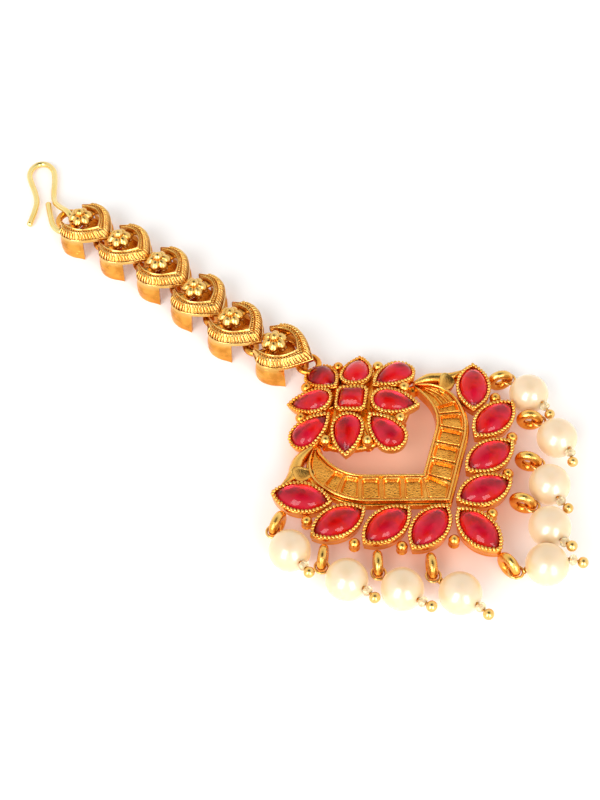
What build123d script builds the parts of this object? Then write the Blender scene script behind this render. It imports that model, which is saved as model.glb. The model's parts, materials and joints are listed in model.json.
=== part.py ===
from build123d import *
from math import cos, radians, sin
import os

# Maang tikka (hair jewel): hook, chain of six cast links, and a pendant of a flower, a crescent and nine pearl drops.
# It lies on a flat surface, z = 0 is that surface, and y runs from the drops to the hook.

fit_gap = 0.05  # clearance round each stone, bead and bore

# Settings: a cabochon in a pocket, with a wall round it
rim_z = 3.6
cast_depth = 1.9  # thickness of the castings
back_z = rim_z - cast_depth
pocket_depth = 0.8
wall = 0.8
tip_wall = 0.7
tip_share = 1.2  # of the wall, at the ends of a setting
foot_wall = 0.4
girdle = 0.45
marquise_length = 8.0
marquise_width = 4.4
pear_width = 4.0
square_side = 3.8
square_dome = 3.1  # radius of the square stone's dome
square_height = 1.7

# Flower: a shallow dome that leans back towards the chain. Heights are from the rims of its petals
flower_height = 3.65
flower_lean = (-9, -3)
petal_slope = 12
chain_petal = (7.4, 6.0)  # reach from the centre to the middle of the petal, and its length
axis_petal = (8.1, 6.5)
corner_petal = (6.6, 6.3)
corner_petal_lift = 0.15
centre_lift = 0.95
centre_depth = 3.0
flower_base_radius = 8.8
flower_base_top = -0.8
granule_radius = 0.85
granule_post = 0.68  # radius of the post under a granule
granule_reach = 8.3
granule_lift = -0.25
horn_root = (9.4, -3.3)
horn_root_radius = 1.1
horn_root_depth = 1.5

# Crescent: half outline, the other half is its mirror image
arm_slope = 37  # of the straight arms, in degrees above the x axis
inner_corner_y = -16.7
outer_corner_y = -22.7
inner_shoulder = (9.5, -6.0)
outer_shoulder = (13.3, -9.1)
horn_tip = (9.5, -3.2)
inner_arm = 8.3
outer_arm = 11.6
crescent_rim = 0.7
cell_floor = 2.7
cell_wall = 0.5
cell_wall_top = 3.4
first_cell = 1.7
cell_pitch = 3.13
cell_wall_length = 5.2
shoulder_centre = (3.6, -6.4)
shoulder_reach = 8.3
shoulder_walls = (-32, -14)
horn_ridge_root = (9.9, -3.5)
horn_ridge_bends = (((12.1, -5.4), (12.2, -8.0)), ((10.9, -5.2), (11.1, -7.6)))
horn_ridge_width = 0.35
flange = 0.6
flange_depth = 0.7

# Scroll from each horn to the first marquise setting
scroll_points = ((9.7, -2.9), (13.6, -3.8), (17.4, -6.1))
scroll_width = 1.1
scroll_depth = 1.7
curl_centre = (13.8, -5.9)
curl_radius = 1.35
curl_dish_z = 4.1  # height of the ball that hollows the curl

# Outer marquise settings on the right-hand side and on the axis: x, y, turn of the long axis
marquise_seats = (
    (16.66, -9.15, 49.0),
    (14.97, -15.67, 8.0),
    (9.84, -20.35, -3.0),
    (5.15, -24.37, -15.0),
    (0.0, -28.93, 90.0),
)
# Granules on the outer edge, right-hand side: x, y
edge_granules = ((18.2, -12.5), (15.1, -19.6), (10.1, -24.1), (3.6, -27.8))
edge_granule_z = 2.7

# Fixed rings that carry the drops, right-hand side and axis: x, y, direction in which they stand out
drop_rings = (
    (21.6, -10.0, -26.0),
    (19.9, -18.5, -44.0),
    (14.4, -24.0, -54.5),
    (8.7, -28.9, -58.0),
    (0.0, -35.3, -90.0),
)
ring_radius = 1.5
ring_wire = 0.55
ring_z = ring_radius + ring_wire + 0.05

# Drops: side, ring, bearing and length from the ring to the pearl, bearing and rise of the wire beyond it
pearl_radius = 3.0
drops = (
    (-1, 0, -92, 4.4, -93, 8),
    (-1, 1, -72, 4.3, -84, 0),
    (-1, 2, -80, 4.3, -72, 6),
    (-1, 3, -80, 4.7, -86, 0),
    (1, 4, -27, 4.3, -50, -8),
    (1, 3, -104, 4.5, -90, 25),
    (1, 2, -114, 4.45, -88, -10),
    (1, 1, -100, 4.4, -118, -20),
    (1, 0, -93, 4.5, -97, -20),
)
pin_wire = 0.2
loop_radius = 0.9
loop_offset = 0.1
seed_radius = 0.7
bead_gap = 0.14
ball_radius = 0.75
bore_radius = pin_wire + 0.1

# Chain: heading of each link from the hook to the pendant, in degrees from -y towards +x
headings = (15.6, 17.5, 11.4, 3.8, 10.5, 26.0)
pendant_ring = (0, 11.2, 2.0)
pendant_ring_radius = 1.65
pendant_ring_wire = 0.5
pendant_joint = (-0.2, 11.48)
prong_reach = 5.6  # from a rosette to its own prong
ring_reach = 3.46  # from a rosette to the prong that holds its ring
link_ring_y = 3.2
link_ring_radius = 1.9
link_ring_wire = 0.6
link_ring_z = 2.2
link_ring_post = (1.8, 1.0)

# Link, with the rosette at the origin and the tip towards -y
link_tip_y = -7.05
link_side = (5.0, -1.7)
link_arm = (3.9, -4.25)
link_horn = (4.1, 2.0)
link_horn_inner = (2.95, 1.4)
link_cavity = (2.95, -0.9)
link_corner_y = -3.3
band_bottom = 3.7
band_top = 4.7
band_ridge_top = 5.15
band_rim_top = 5.5
ridge_inset = 0.75
cavity_rim = 0.45
cavity_rim_area = (7.0, 5.6, -1.2)  # width, length and middle of the part of the cavity that has a raised rim
cavity_rim_circle = (3.7, -1.8)  # radius and middle
flute_count = 13  # on each side
flute_radius = 0.3
flute_start = 0.15  # from the outer edge
flute_end = 1.0
flute_straight = 0.62  # share of the flutes that stands on the straight edge
skirt_wall = 0.65
skirt_inset = 0.15
skirt_back_y = 0.5
skirt_front_y = -4.3
skirt_opening = 5.0  # between the two skirts
weld = 0.1  # overlap where parts of a casting join
bridge_half = (3.4, 1.3)
bridge_bottom = 3.6
bridge_top = 4.7
petal_radius = 0.75
petal_ring = 1.5
petal_z = 5.0
bud_radius = 0.8
bud_z = 5.25
prong_wire = 0.45
prong_top = 4.0
prong_z = 0.8
prong_bend = 0.65
prong_tail_y = -2.6
prong_tail_z = 2.3

# Hook wire: from the end of the closed eye, through the ring of the first link, to the open end
hook_wire = 0.45
hook_route = (
    (-13.7, 71.2, 0.5),
    (-15.2, 67.6, 0.5),
    (-16.0, 64.0, 0.5),
    (-13.4, 62.9, 0.5),
    (-13.2, 63.3, 3.5),
    (-12.9, 66.4, 3.4),
    (-12.4, 70.6, 0.5),
    (-9.1, 76.4, 0.5),
    (-7.8, 81.8, 0.5),
    (-12.6, 82.0, 0.5),
    (-14.6, 73.9, 0.5),
    (-18.9, 68.7, 0.5),
)
hook_bends = (3.0, 1.2, 0.8, 0.8, 1.5, 2.0, 2.5, 2.1, 2.2, 2.0)


def direction(angle):
    return Vector(cos(radians(angle)), sin(radians(angle)))


def ball(radius, x, y, z):
    return Pos(x, y, z) * Sphere(radius)


def rod(start, end, radius):
    length = (end - start).length
    return Plane(origin=start, z_dir=end - start) * Pos(0, 0, length / 2) * Cylinder(radius, length)


def marquise_outline(length, width):
    tips = ((-length / 2, 0), (length / 2, 0))
    upper = ThreePointArc(tips[0], (0, width / 2), tips[1])
    lower = ThreePointArc(tips[1], (0, -width / 2), tips[0])
    return make_face(upper + lower)


def blunt_marquise(length, width):
    """Marquise whose two tips are cut square."""
    return marquise_outline(length, width) & Rectangle(marquise_length + 2 * tip_wall, width)


def pear_outline(length, width):
    """Round end towards -x, tip towards +x."""
    radius = width / 2
    middle = radius - length / 2
    tip = (length / 2, 0)
    back = ThreePointArc((middle, radius), (middle - radius, 0), (middle, -radius))
    lower = TangentArc((middle, -radius), tip, tangent=(1, 0))
    upper = TangentArc((middle, radius), tip, tangent=(1, 0))
    return make_face(back + lower + upper)


def square_outline(length, width):
    return RectangleRounded(length, width, 0.5)


def stone(outline, length, width):
    """Cabochon with its girdle under z = 0 and its dome above."""
    base = extrude(outline(length, width), amount=-girdle)
    if outline is square_outline:
        block = extrude(outline(length, width), amount=square_height + girdle)
        return base + (block & ball(square_dome, 0, 0, square_height - square_dome))
    half = outline(length, width) & Pos(0, width / 2) * Rectangle(2 * length, width)
    return base + revolve(half, Axis.X, 180)


def setting(outline, length, width, depth):
    """Wall round a stone, with its rim at z = 0, and the pocket to cut out of it."""
    shape = blunt_marquise if outline is marquise_outline else outline
    outside = shape(length + 2 * tip_share * wall, width + 2 * wall)
    body = extrude(outside, amount=-depth)
    hole = outline(length + 3 * fit_gap, width + 2 * fit_gap)
    pocket = extrude(Pos(0, 0, -pocket_depth) * hole, amount=pocket_depth + 1)
    return body, pocket


def seat_stone(place, outline, length, width):
    return place * Pos(0, 0, -pocket_depth + girdle + fit_gap) * stone(outline, length, width)


def flower_place():
    return Pos(0, 0, flower_height) * Rot(*flower_lean, 0)


def petals():
    """Place and length of the eight petals, first at the chain and then clockwise."""
    found = []
    for step in range(8):
        on_axis = step % 2 == 0
        reach, length = axis_petal if on_axis else corner_petal
        if step == 0:
            reach, length = chain_petal
        lift = 0 if on_axis else corner_petal_lift
        place = Rot(0, 0, 90 - 45 * step) * Pos(reach, 0, lift) * Rot(0, petal_slope, 0)
        found.append((flower_place() * place * Rot(0, 0, 180 if on_axis else 0), length))
    return found


def centre_place():
    return flower_place() * Pos(0, 0, centre_lift) * Rot(0, 0, 45)


def marquise_places():
    places = []
    for x, y, turn in marquise_seats:
        places.append(Pos(x, y, rim_z) * Rot(0, 0, turn))
    for x, y, turn in reversed(marquise_seats[:-1]):
        places.append(Pos(-x, y, rim_z) * Rot(0, 0, -turn))
    return places


def crescent_outline():
    """The heart-shaped band, and the open inside of the heart."""
    up = direction(arm_slope)
    outer_corner = Vector(0, outer_corner_y)
    inner_corner = Vector(0, inner_corner_y)
    top = Vector(0, horn_tip[1])
    outer_line = Line(outer_corner, outer_corner + up * outer_arm)
    outer_round = TangentArc(outer_line @ 1, outer_shoulder, tangent=outer_line % 1)
    outer_horn = TangentArc(outer_shoulder, horn_tip, tangent=outer_round % 1)
    inner_line = Line(inner_corner, inner_corner + up * inner_arm)
    inner_round = TangentArc(inner_line @ 1, inner_shoulder, tangent=inner_line % 1)
    inner_side = inner_line + inner_round + Line(inner_shoulder, horn_tip)
    half = make_face(outer_line + outer_round + outer_horn + inner_side + Line(inner_corner, outer_corner))
    open_half = make_face(inner_side + Line(inner_corner, top) + Line(top, horn_tip))
    return half + mirror(half, Plane.YZ), open_half + mirror(open_half, Plane.YZ)


def cell_walls():
    """Bars across the band, between its two rims, on the right-hand side."""
    across = arm_slope - 90
    middle = Vector(0, (inner_corner_y + outer_corner_y) / 2)
    bars = []
    for step in range(4):
        at = middle + direction(arm_slope) * (first_cell + cell_pitch * step)
        bars.append(Pos(at.X, at.Y) * Rot(0, 0, across) * Rectangle(cell_wall_length, cell_wall))
    for angle in shoulder_walls:
        at = Vector(*shoulder_centre) + direction(angle) * shoulder_reach
        bars.append(Pos(at.X, at.Y) * Rot(0, 0, angle) * Rectangle(cell_wall_length, cell_wall))
    return bars


def horn_ridges():
    """Curved ridges of the leaf-like horn, on the right-hand side."""
    ridges = []
    for bend, end in horn_ridge_bends:
        arc = ThreePointArc(horn_ridge_root, bend, end)
        ridges.append(trace(arc, horn_ridge_width))
    return ridges


def crescent():
    outline, heart = crescent_outline()
    inside = offset(outline, -crescent_rim, kind=Kind.INTERSECTION)
    body = Pos(0, 0, back_z) * extrude(outline, amount=cast_depth)
    body -= Pos(0, 0, cell_floor) * extrude(inside, amount=cast_depth)
    for bar in cell_walls() + horn_ridges():
        right = extrude(bar & inside, amount=cell_wall_top - back_z)
        body += Pos(0, 0, back_z) * right
        body += Pos(0, 0, back_z) * mirror(right, Plane.YZ)
    foot = offset(outline, flange, kind=Kind.ARC) - heart
    return body + Pos(0, 0, back_z) * extrude(foot, amount=flange_depth)


def scroll(side):
    points = [(side * x, y) for x, y in scroll_points]
    strap = trace(ThreePointArc(*points), scroll_width)
    x, y = side * curl_centre[0], curl_centre[1]
    curl = Pos(x, y, back_z + scroll_depth / 2) * Cylinder(curl_radius, scroll_depth)
    body = Pos(0, 0, back_z) * extrude(strap, amount=scroll_depth) + curl
    return body - ball(curl_radius, x, y, curl_dish_z)


def granule(x, y, z, foot):
    """Ball on a short post that stands on the height foot."""
    post = Pos(x, y, (z + foot) / 2) * Cylinder(granule_post, z - foot)
    return post + ball(granule_radius, x, y, z)


def fixed_ring(side, ring):
    x, y, angle = drop_rings[ring]
    turn = angle if side > 0 else 180 - angle
    return Pos(side * x, y, ring_z) * Rot(0, 0, turn) * Rot(90, 0, 0) * Torus(ring_radius, ring_wire)


def flower():
    """Castings of the flower in their own frame, and the pockets to cut out of them."""
    body = Part()
    pockets = []
    for place, length in petals():
        wall_body, pocket = setting(pear_outline, length, pear_width, cast_depth)
        body += place * wall_body
        pockets.append(place * pocket)
    wall_body, pocket = setting(square_outline, square_side, square_side, centre_depth)
    body += centre_place() * wall_body
    pockets.append(centre_place() * pocket)
    base_height = cast_depth + flower_base_top
    base = Pos(0, 0, flower_base_top - base_height / 2) * Cylinder(flower_base_radius, base_height)
    for step in range(8):
        at = direction(22.5 + 45 * step) * granule_reach
        base += granule(at.X, at.Y, granule_lift, -cast_depth)
    return body + flower_place() * base, pockets


def pendant_frame():
    body, pockets = flower()
    body += crescent()
    for place in marquise_places():
        wall_body, pocket = setting(marquise_outline, marquise_length, marquise_width, cast_depth)
        foot_width = marquise_width + 2 * (wall + foot_wall)
        foot = blunt_marquise(marquise_length + 2 * (wall + foot_wall), foot_width)
        body += place * wall_body
        body += place * Pos(0, 0, -cast_depth) * extrude(foot, amount=flange_depth)
        pockets.append(place * pocket)
    for side in (-1, 1):
        body += scroll(side)
        x, y = side * horn_root[0], horn_root[1]
        body += Pos(x, y, back_z + horn_root_depth / 2) * Cylinder(horn_root_radius, horn_root_depth)
        for x, y in edge_granules:
            body += granule(side * x, y, edge_granule_z, back_z)
        for ring in range(4):
            body += fixed_ring(side, ring)
    body += fixed_ring(1, 4)
    body += Pos(*pendant_ring) * Torus(pendant_ring_radius, pendant_ring_wire)
    for pocket in pockets:
        body -= pocket
    keep = Pos(0, 0, 10) * Box(120, 120, 20)
    return body & keep


def drop(side, ring, bearing, reach, tail_bearing, tail_rise):
    """Pearl, wire and seed bead of one drop."""
    x, y, angle = drop_rings[ring]
    turn = angle if side > 0 else 180 - angle
    bar = Vector(side * x, y, ring_z) + direction(turn) * ring_radius
    to_pearl = direction(bearing)
    pearl_at = Vector(bar.X, bar.Y, pearl_radius) + to_pearl * reach
    loop_at = bar + to_pearl * loop_offset
    loop_end = loop_at + to_pearl * loop_radius
    along = (pearl_at - loop_end).normalized()
    mouth = pearl_at + along * (pearl_radius + fit_gap)
    rise = radians(tail_rise)
    tail = direction(tail_bearing) * cos(rise) + Vector(0, 0, sin(rise))
    seed_at = mouth + tail * (seed_radius + bead_gap)
    ball_at = mouth + tail * (2 * seed_radius + ball_radius + bead_gap + fit_gap)
    pin = Pos(*loop_at) * Torus(loop_radius, pin_wire)
    pin += rod(loop_end, mouth, pin_wire)
    pin += Pos(*mouth) * Sphere(pin_wire)
    pin += rod(mouth, ball_at, pin_wire)
    pin += Pos(*ball_at) * Sphere(ball_radius)
    pearl = Pos(*pearl_at) * Sphere(pearl_radius) - rod(loop_end, mouth + along, bore_radius)
    seed = Pos(*seed_at) * Sphere(seed_radius) - rod(mouth - tail, ball_at, bore_radius)
    return pearl, pin, seed


def link_outline():
    """The link seen from above, and the straight and the round part of its outer edge on the right."""
    outer_line = Line((0, link_tip_y), link_arm)
    outer_round = TangentArc(link_arm, link_side, tangent=outer_line % 1)
    outer_horn = TangentArc(link_side, link_horn, tangent=outer_round % 1)
    horn_end = TangentArc(link_horn, link_horn_inner, tangent=outer_horn % 1)
    inner_side = Line(link_horn_inner, link_cavity)
    inner_arm_line = Line(link_cavity, (0, link_corner_y))
    axis = Line((0, link_corner_y), (0, link_tip_y))
    edges = outer_line + outer_round + outer_horn + horn_end + inner_side + inner_arm_line + axis
    half = make_face(edges)
    return half + mirror(half, Plane.YZ), outer_line, outer_round


def on_edge(outer_line, outer_round, share):
    """Point and direction on a link's outer edge, from share 0 at the tip to 1 at the side."""
    if share < flute_straight:
        part = share / flute_straight
        return outer_line @ part, outer_line % part
    part = (share - flute_straight) / (1 - flute_straight)
    return outer_round @ part, outer_round % part


def flutes(outer_line, outer_round):
    ribs = Part()
    for step in range(flute_count):
        at, along = on_edge(outer_line, outer_round, (step + 0.5) / flute_count)
        inward = Vector(-along.Y, along.X)
        low = at + inward * flute_start
        high = at + inward * flute_end
        for side in (-1, 1):
            start = Vector(side * low.X, low.Y, band_top)
            end = Vector(side * high.X, high.Y, band_ridge_top)
            ribs += rod(start, end, flute_radius)
            ribs += Pos(*start) * Sphere(flute_radius)
    return ribs


def band():
    """The link's raised band, with its ridge, its cavity rim and its flutes."""
    outline, outer_line, outer_round = link_outline()
    ridge = offset(outline, -ridge_inset, kind=Kind.ARC)
    body = extrude(Pos(0, 0, band_bottom) * outline, amount=band_top - band_bottom)
    body += extrude(Pos(0, 0, band_bottom) * ridge, amount=band_ridge_top - band_bottom)
    width, length, middle = cavity_rim_area
    radius, centre = cavity_rim_circle
    rim = outline - offset(outline, -cavity_rim, kind=Kind.INTERSECTION)
    rim = rim & (Pos(0, middle) * Rectangle(width, length)) & (Pos(0, centre) * Circle(radius))
    body += extrude(Pos(0, 0, band_top) * rim, amount=band_rim_top - band_top)
    return body + flutes(outer_line, outer_round)


def skirts():
    """The two walls that stand under the band."""
    outline = link_outline()[0]
    outer = offset(outline, -skirt_inset, kind=Kind.INTERSECTION)
    inner = offset(outline, -skirt_inset - skirt_wall, kind=Kind.ARC)
    length = skirt_back_y - skirt_front_y
    sides = Pos(0, (skirt_back_y + skirt_front_y) / 2) * Rectangle(4 * link_side[0], length)
    walls = (outer - inner) & sides
    opening = Pos(0, (skirt_back_y + skirt_front_y) / 2) * Rectangle(skirt_opening, 2 * length)
    return extrude(walls - opening, amount=band_bottom + weld)


def rosette():
    """Six petals and a bud on the bridge across the cavity."""
    height = bridge_top - bridge_bottom
    body = Pos(0, 0, bridge_bottom + height / 2) * Box(2 * bridge_half[0], 2 * bridge_half[1], height)
    for step in range(6):
        at = direction(60 * step) * petal_ring
        body += ball(petal_radius, at.X, at.Y, petal_z)
    return body + ball(bud_radius, 0, 0, bud_z)


def prong():
    """Bent wire under the tip, which passes through the next ring."""
    start = (0, -prong_reach, prong_top)
    low = (0, -prong_reach, prong_z)
    turn = (0, prong_tail_y, prong_z)
    end = (0, prong_tail_y, prong_tail_z)
    path = FilletPolyline(start, low, turn, end, radius=prong_bend)
    return sweep(Plane(origin=start, z_dir=(0, 0, -1)) * Circle(prong_wire), path)


def link():
    body = band() + skirts() + rosette() + prong()
    body += Pos(0, link_ring_y, link_ring_z) * Torus(link_ring_radius, link_ring_wire)
    post_y = link_ring_y - link_ring_radius - weld
    post_height = bridge_top - link_ring_z
    post = Pos(0, post_y, link_ring_z + post_height / 2) * Box(*link_ring_post, post_height)
    return body + post


def link_places():
    """Place of each link, worked out from the pendant back to the hook."""
    joint = Vector(*pendant_joint)
    places = []
    for heading in reversed(headings):
        back = direction(90 + heading)
        centre = joint + back * prong_reach
        places.append(Pos(centre.X, centre.Y) * Rot(0, 0, heading))
        joint = centre + back * ring_reach
    return places[::-1]


def hair_hook():
    path = FilletPolyline(*hook_route, radius=hook_bends)
    start = Plane(origin=path @ 0, z_dir=path % 0)
    body = sweep(start * Circle(hook_wire), path)
    for end in (0, 1):
        body += Pos(*(path @ end)) * Sphere(hook_wire)
    return body


def build_all():
    pieces = {"hair_hook": hair_hook()}
    one_link = link()
    for number, place in enumerate(link_places(), 1):
        pieces[f"link_{number}"] = place * one_link
    pieces["pendant_frame"] = pendant_frame()
    pieces["stone_centre"] = seat_stone(centre_place(), square_outline, square_side, square_side)
    for number, (place, length) in enumerate(petals(), 1):
        pieces[f"flower_stone_{number}"] = seat_stone(place, pear_outline, length, pear_width)
    for number, place in enumerate(marquise_places(), 1):
        pieces[f"marquise_stone_{number}"] = seat_stone(
            place, marquise_outline, marquise_length, marquise_width
        )
    for number, row in enumerate(drops, 1):
        pearl, pin, seed = drop(*row)
        pieces[f"pearl_{number}"] = pearl
        pieces[f"drop_pin_{number}"] = pin
        pieces[f"seed_bead_{number}"] = seed
    return pieces


pieces = build_all()
box = Compound(children=[Part() + piece for piece in pieces.values()]).bounding_box()
shift = Pos(-(box.min.X + box.max.X) / 2, -(box.min.Y + box.max.Y) / 2, -box.min.Z)
print("size", box.size, "shift", shift.position)
os.makedirs("parts", exist_ok=True)
for name, piece in pieces.items():
    export_step(shift * piece, f"parts/{name}.step")
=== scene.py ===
import json
import math

import bmesh
import bpy
import numpy as np
from mathutils import Matrix, Vector, noise

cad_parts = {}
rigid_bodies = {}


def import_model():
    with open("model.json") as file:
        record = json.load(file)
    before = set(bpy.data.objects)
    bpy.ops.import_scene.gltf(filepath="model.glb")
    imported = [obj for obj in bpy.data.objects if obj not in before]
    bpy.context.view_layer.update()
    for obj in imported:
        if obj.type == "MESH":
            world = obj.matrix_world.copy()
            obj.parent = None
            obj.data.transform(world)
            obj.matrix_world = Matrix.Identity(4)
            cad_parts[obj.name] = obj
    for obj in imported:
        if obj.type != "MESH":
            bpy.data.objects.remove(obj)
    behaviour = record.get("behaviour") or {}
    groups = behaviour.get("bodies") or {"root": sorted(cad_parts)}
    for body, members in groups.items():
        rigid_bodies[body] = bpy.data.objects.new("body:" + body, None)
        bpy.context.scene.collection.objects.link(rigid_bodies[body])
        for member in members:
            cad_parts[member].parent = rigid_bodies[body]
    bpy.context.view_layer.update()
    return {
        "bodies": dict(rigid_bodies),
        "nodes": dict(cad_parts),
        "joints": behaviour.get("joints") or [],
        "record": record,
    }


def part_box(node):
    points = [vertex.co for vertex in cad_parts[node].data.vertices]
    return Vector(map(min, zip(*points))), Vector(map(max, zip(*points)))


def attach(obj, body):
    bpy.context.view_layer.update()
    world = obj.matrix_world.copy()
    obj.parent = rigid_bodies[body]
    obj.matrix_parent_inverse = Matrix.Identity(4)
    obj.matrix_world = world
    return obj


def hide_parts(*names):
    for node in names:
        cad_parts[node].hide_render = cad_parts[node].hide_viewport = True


# Maang tikka: wire hook, six cast links, and a pendant of a flower, a crescent and nine pearl drops.
# Shapes are worked out in millimetres from the flower's centre, and moved into place at the end.

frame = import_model()
print("frame loaded")

seatLow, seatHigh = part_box("marquise_stone_5")
axisStoneY = -28.93  # the axis stone, from the flower's centre
originX = (seatLow.x + seatHigh.x) / 2
originY = (seatLow.y + seatHigh.y) / 2 - axisStoneY / 1000
origin = Vector((originX, originY, 0.0))

mergeDistance = 1e-4
cornerLimit = 0.74  # keeps a path's offset short at a sharp corner
curveSteps = 24  # points between two given points of a smooth path


def heading(angle):
    return np.array((math.cos(math.radians(angle)), math.sin(math.radians(angle))))


def arc(centre, radius, start, end, count):
    turns = np.radians(np.linspace(start, end, count))
    return np.stack((centre[0] + radius * np.cos(turns), centre[1] + radius * np.sin(turns)), 1)


def tangentArc(start, tangent, end, count):
    start, end = np.array(start, float), np.array(end, float)
    along = np.array(tangent, float) / np.linalg.norm(tangent)
    left = np.array((-along[1], along[0]))
    reach = end - start
    radius = reach @ reach / (2 * (reach @ left))
    centre = start + left * radius
    first = math.degrees(math.atan2(*(start - centre)[::-1]))
    last = math.degrees(math.atan2(*(end - centre)[::-1]))
    if radius > 0:
        while last < first:
            last += 360
    else:
        while last > first:
            last -= 360
    return arc(centre, abs(radius), first, last, count)


def smoothPath(points, count):
    points = np.asarray(points, float)
    before, after = 2 * points[:1] - points[1:2], 2 * points[-1:] - points[-2:-1]
    padded = np.concatenate((before, points, after))
    curve = []
    for a, b, c, d in zip(padded, padded[1:], padded[2:], padded[3:]):
        bend, twist = 2 * a - 5 * b + 4 * c - d, 3 * b - a - 3 * c + d
        for t in np.linspace(0, 1, curveSteps, endpoint=False):
            curve.append((2 * b + (c - a) * t + bend * t**2 + twist * t**3) / 2)
    curve.append(points[-1])
    return alongPath(curve, count)


def alongPath(points, count, start=0.0, end=1.0):
    points = np.asarray(points, float)
    steps = np.linalg.norm(np.diff(points, axis=0), axis=1)
    walked = np.concatenate(((0.0,), np.cumsum(steps)))
    wanted = np.linspace(start, end, count) * walked[-1]
    return np.stack([np.interp(wanted, walked, points[:, axis]) for axis in range(points.shape[1])], 1)


def leftOf(points, closed=False):
    # unit steps to the left of a path, longer where it turns so that its offset stays parallel
    if closed:
        ahead = np.roll(points, -1, 0) - points
        behind = points - np.roll(points, 1, 0)
    else:
        ahead = np.diff(points, axis=0, append=points[-1:] * 2 - points[-2:-1])
        behind = np.diff(points, axis=0, prepend=points[:1] * 2 - points[1:2])
    ahead = ahead / np.linalg.norm(ahead, axis=1, keepdims=True)
    behind = behind / np.linalg.norm(behind, axis=1, keepdims=True)
    total = ahead + behind
    total = total / np.linalg.norm(total, axis=1, keepdims=True)
    mitre = 1 / np.clip((total * ahead).sum(1), cornerLimit, 1)
    return np.stack((-total[:, 1], total[:, 0]), 1) * mitre[:, None]


def loft(rings, closed=False):
    # joins rings of the same number of points, with a cap at each end or back to the first ring
    rings = np.asarray(rings, float)
    count, around = rings.shape[:2]
    faces = []
    for i in range(count if closed else count - 1):
        j = (i + 1) % count
        for k in range(around):
            n = (k + 1) % around
            faces.append((i * around + k, i * around + n, j * around + n, j * around + k))
    if not closed:
        faces.append(tuple(range(around)))
        faces.append(tuple((count - 1) * around + k for k in range(around)))
    return rings.reshape(-1, 3), faces


def turned(profile, around=40, closed=False):
    turns = np.linspace(0, 2 * math.pi, around, endpoint=False)
    rings = [[(r * math.cos(t), r * math.sin(t), z) for t in turns] for r, z in profile]
    return loft(rings, closed)


def ballEnd(radius, steps, around, pole, squash=1.0):
    # a ball with a small flat of the radius pole at each end
    turns = np.linspace(0, math.pi, steps)
    return turned([(radius * math.sin(t) + pole, -radius * squash * math.cos(t)) for t in turns], around)


def tube(points, radius, around, side=None):
    # a round wire along a path; side is a fixed direction across a path that lies in one plane
    points = [Vector(point) for point in points]
    turns = np.linspace(0, 2 * math.pi, around, endpoint=False)
    upward = Vector((0.02, 0.01, 1)).normalized()
    rings, across = [], side
    for index, point in enumerate(points):
        along = (points[min(index + 1, len(points) - 1)] - points[max(index - 1, 0)]).normalized()
        if side is None:
            found = along.cross(upward).normalized()
            across = -found if across is not None and found.dot(across) < 0 else found
        over = across.cross(along)
        rings.append([tuple(point + (across * math.cos(t) + over * math.sin(t)) * radius) for t in turns])
    return loft(rings)


def prism(outline, low, high):
    return loft([[(x, y, height) for x, y in outline] for height in (low, high)])


def moved(part, matrix):
    points, faces = part
    matrix = np.array(matrix, float)
    return points @ matrix[:3, :3].T + matrix[:3, 3], faces


def mirrored(part):
    points, faces = part
    return points * (-1, 1, 1), faces


def shift(x, y, z=0.0):
    return Matrix.Translation((x, y, z))


def turnAbout(angle, axis):
    return Matrix.Rotation(math.radians(angle), 4, axis)


def meshArrays(mesh):
    points = np.zeros(len(mesh.vertices) * 3)
    mesh.vertices.foreach_get("co", points)
    return points.reshape(-1, 3), [tuple(face.vertices) for face in mesh.polygons]


def tidyPart(part):
    # merges doubles and turns every face outwards
    points, faces = part
    work = bmesh.new()
    made = [work.verts.new(point) for point in points]
    for face in faces:
        if len(set(face)) > 2:
            work.faces.new([made[index] for index in face])
    bmesh.ops.remove_doubles(work, verts=work.verts, dist=mergeDistance)
    bmesh.ops.dissolve_degenerate(work, edges=work.edges, dist=mergeDistance)
    bmesh.ops.recalc_face_normals(work, faces=work.faces)
    mesh = bpy.data.meshes.new("work")
    work.to_mesh(mesh)
    work.free()
    result = meshArrays(mesh)
    bpy.data.meshes.remove(mesh)
    return result


def makePiece(name, parts, material, replacedNodes, sharpAngle, second=None):
    # one piece in metres; second is another material with a 0 or 1 for each face
    points, faces, offset = [], [], 0
    for partPoints, partFaces in parts:
        points.append(np.asarray(partPoints, float))
        faces += [tuple(index + offset for index in face) for face in partFaces]
        offset += len(partPoints)
    placed = np.concatenate(points) / 1000 + np.array(origin)
    mesh = bpy.data.meshes.new(name)
    mesh.from_pydata(placed.tolist(), [], faces)
    mesh.materials.append(material)
    if second:
        secondMaterial, picked = second
        mesh.materials.append(secondMaterial)
        mesh.polygons.foreach_set("material_index", picked)
    mesh.polygons.foreach_set("use_smooth", [True] * len(mesh.polygons))
    mesh.set_sharp_from_angle(angle=math.radians(sharpAngle))
    mesh.update()
    piece = bpy.data.objects.new(name, mesh)
    bpy.context.scene.collection.objects.link(piece)
    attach(piece, "root")
    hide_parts(*replacedNodes)
    return piece


def addNode(tree, kind, **settings):
    node = tree.nodes.new(kind)
    for key, value in settings.items():
        setattr(node, key, value)
    return node


def feed(tree, socket, value):
    # an input takes a plain value or another node's output
    if isinstance(value, bpy.types.NodeSocket):
        tree.links.new(value, socket)
    else:
        socket.default_value = value


def through(tree, kind, output, inputs, **settings):
    # adds a node, feeds its inputs and gives back one of its outputs
    node = addNode(tree, kind, **settings)
    for key, value in inputs.items():
        feed(tree, node.inputs[key], value)
    return node.outputs[output]


def mathNode(tree, operation, first, second=0.0, **settings):
    return through(tree, "ShaderNodeMath", 0, {0: first, 1: second}, operation=operation, **settings)


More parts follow.
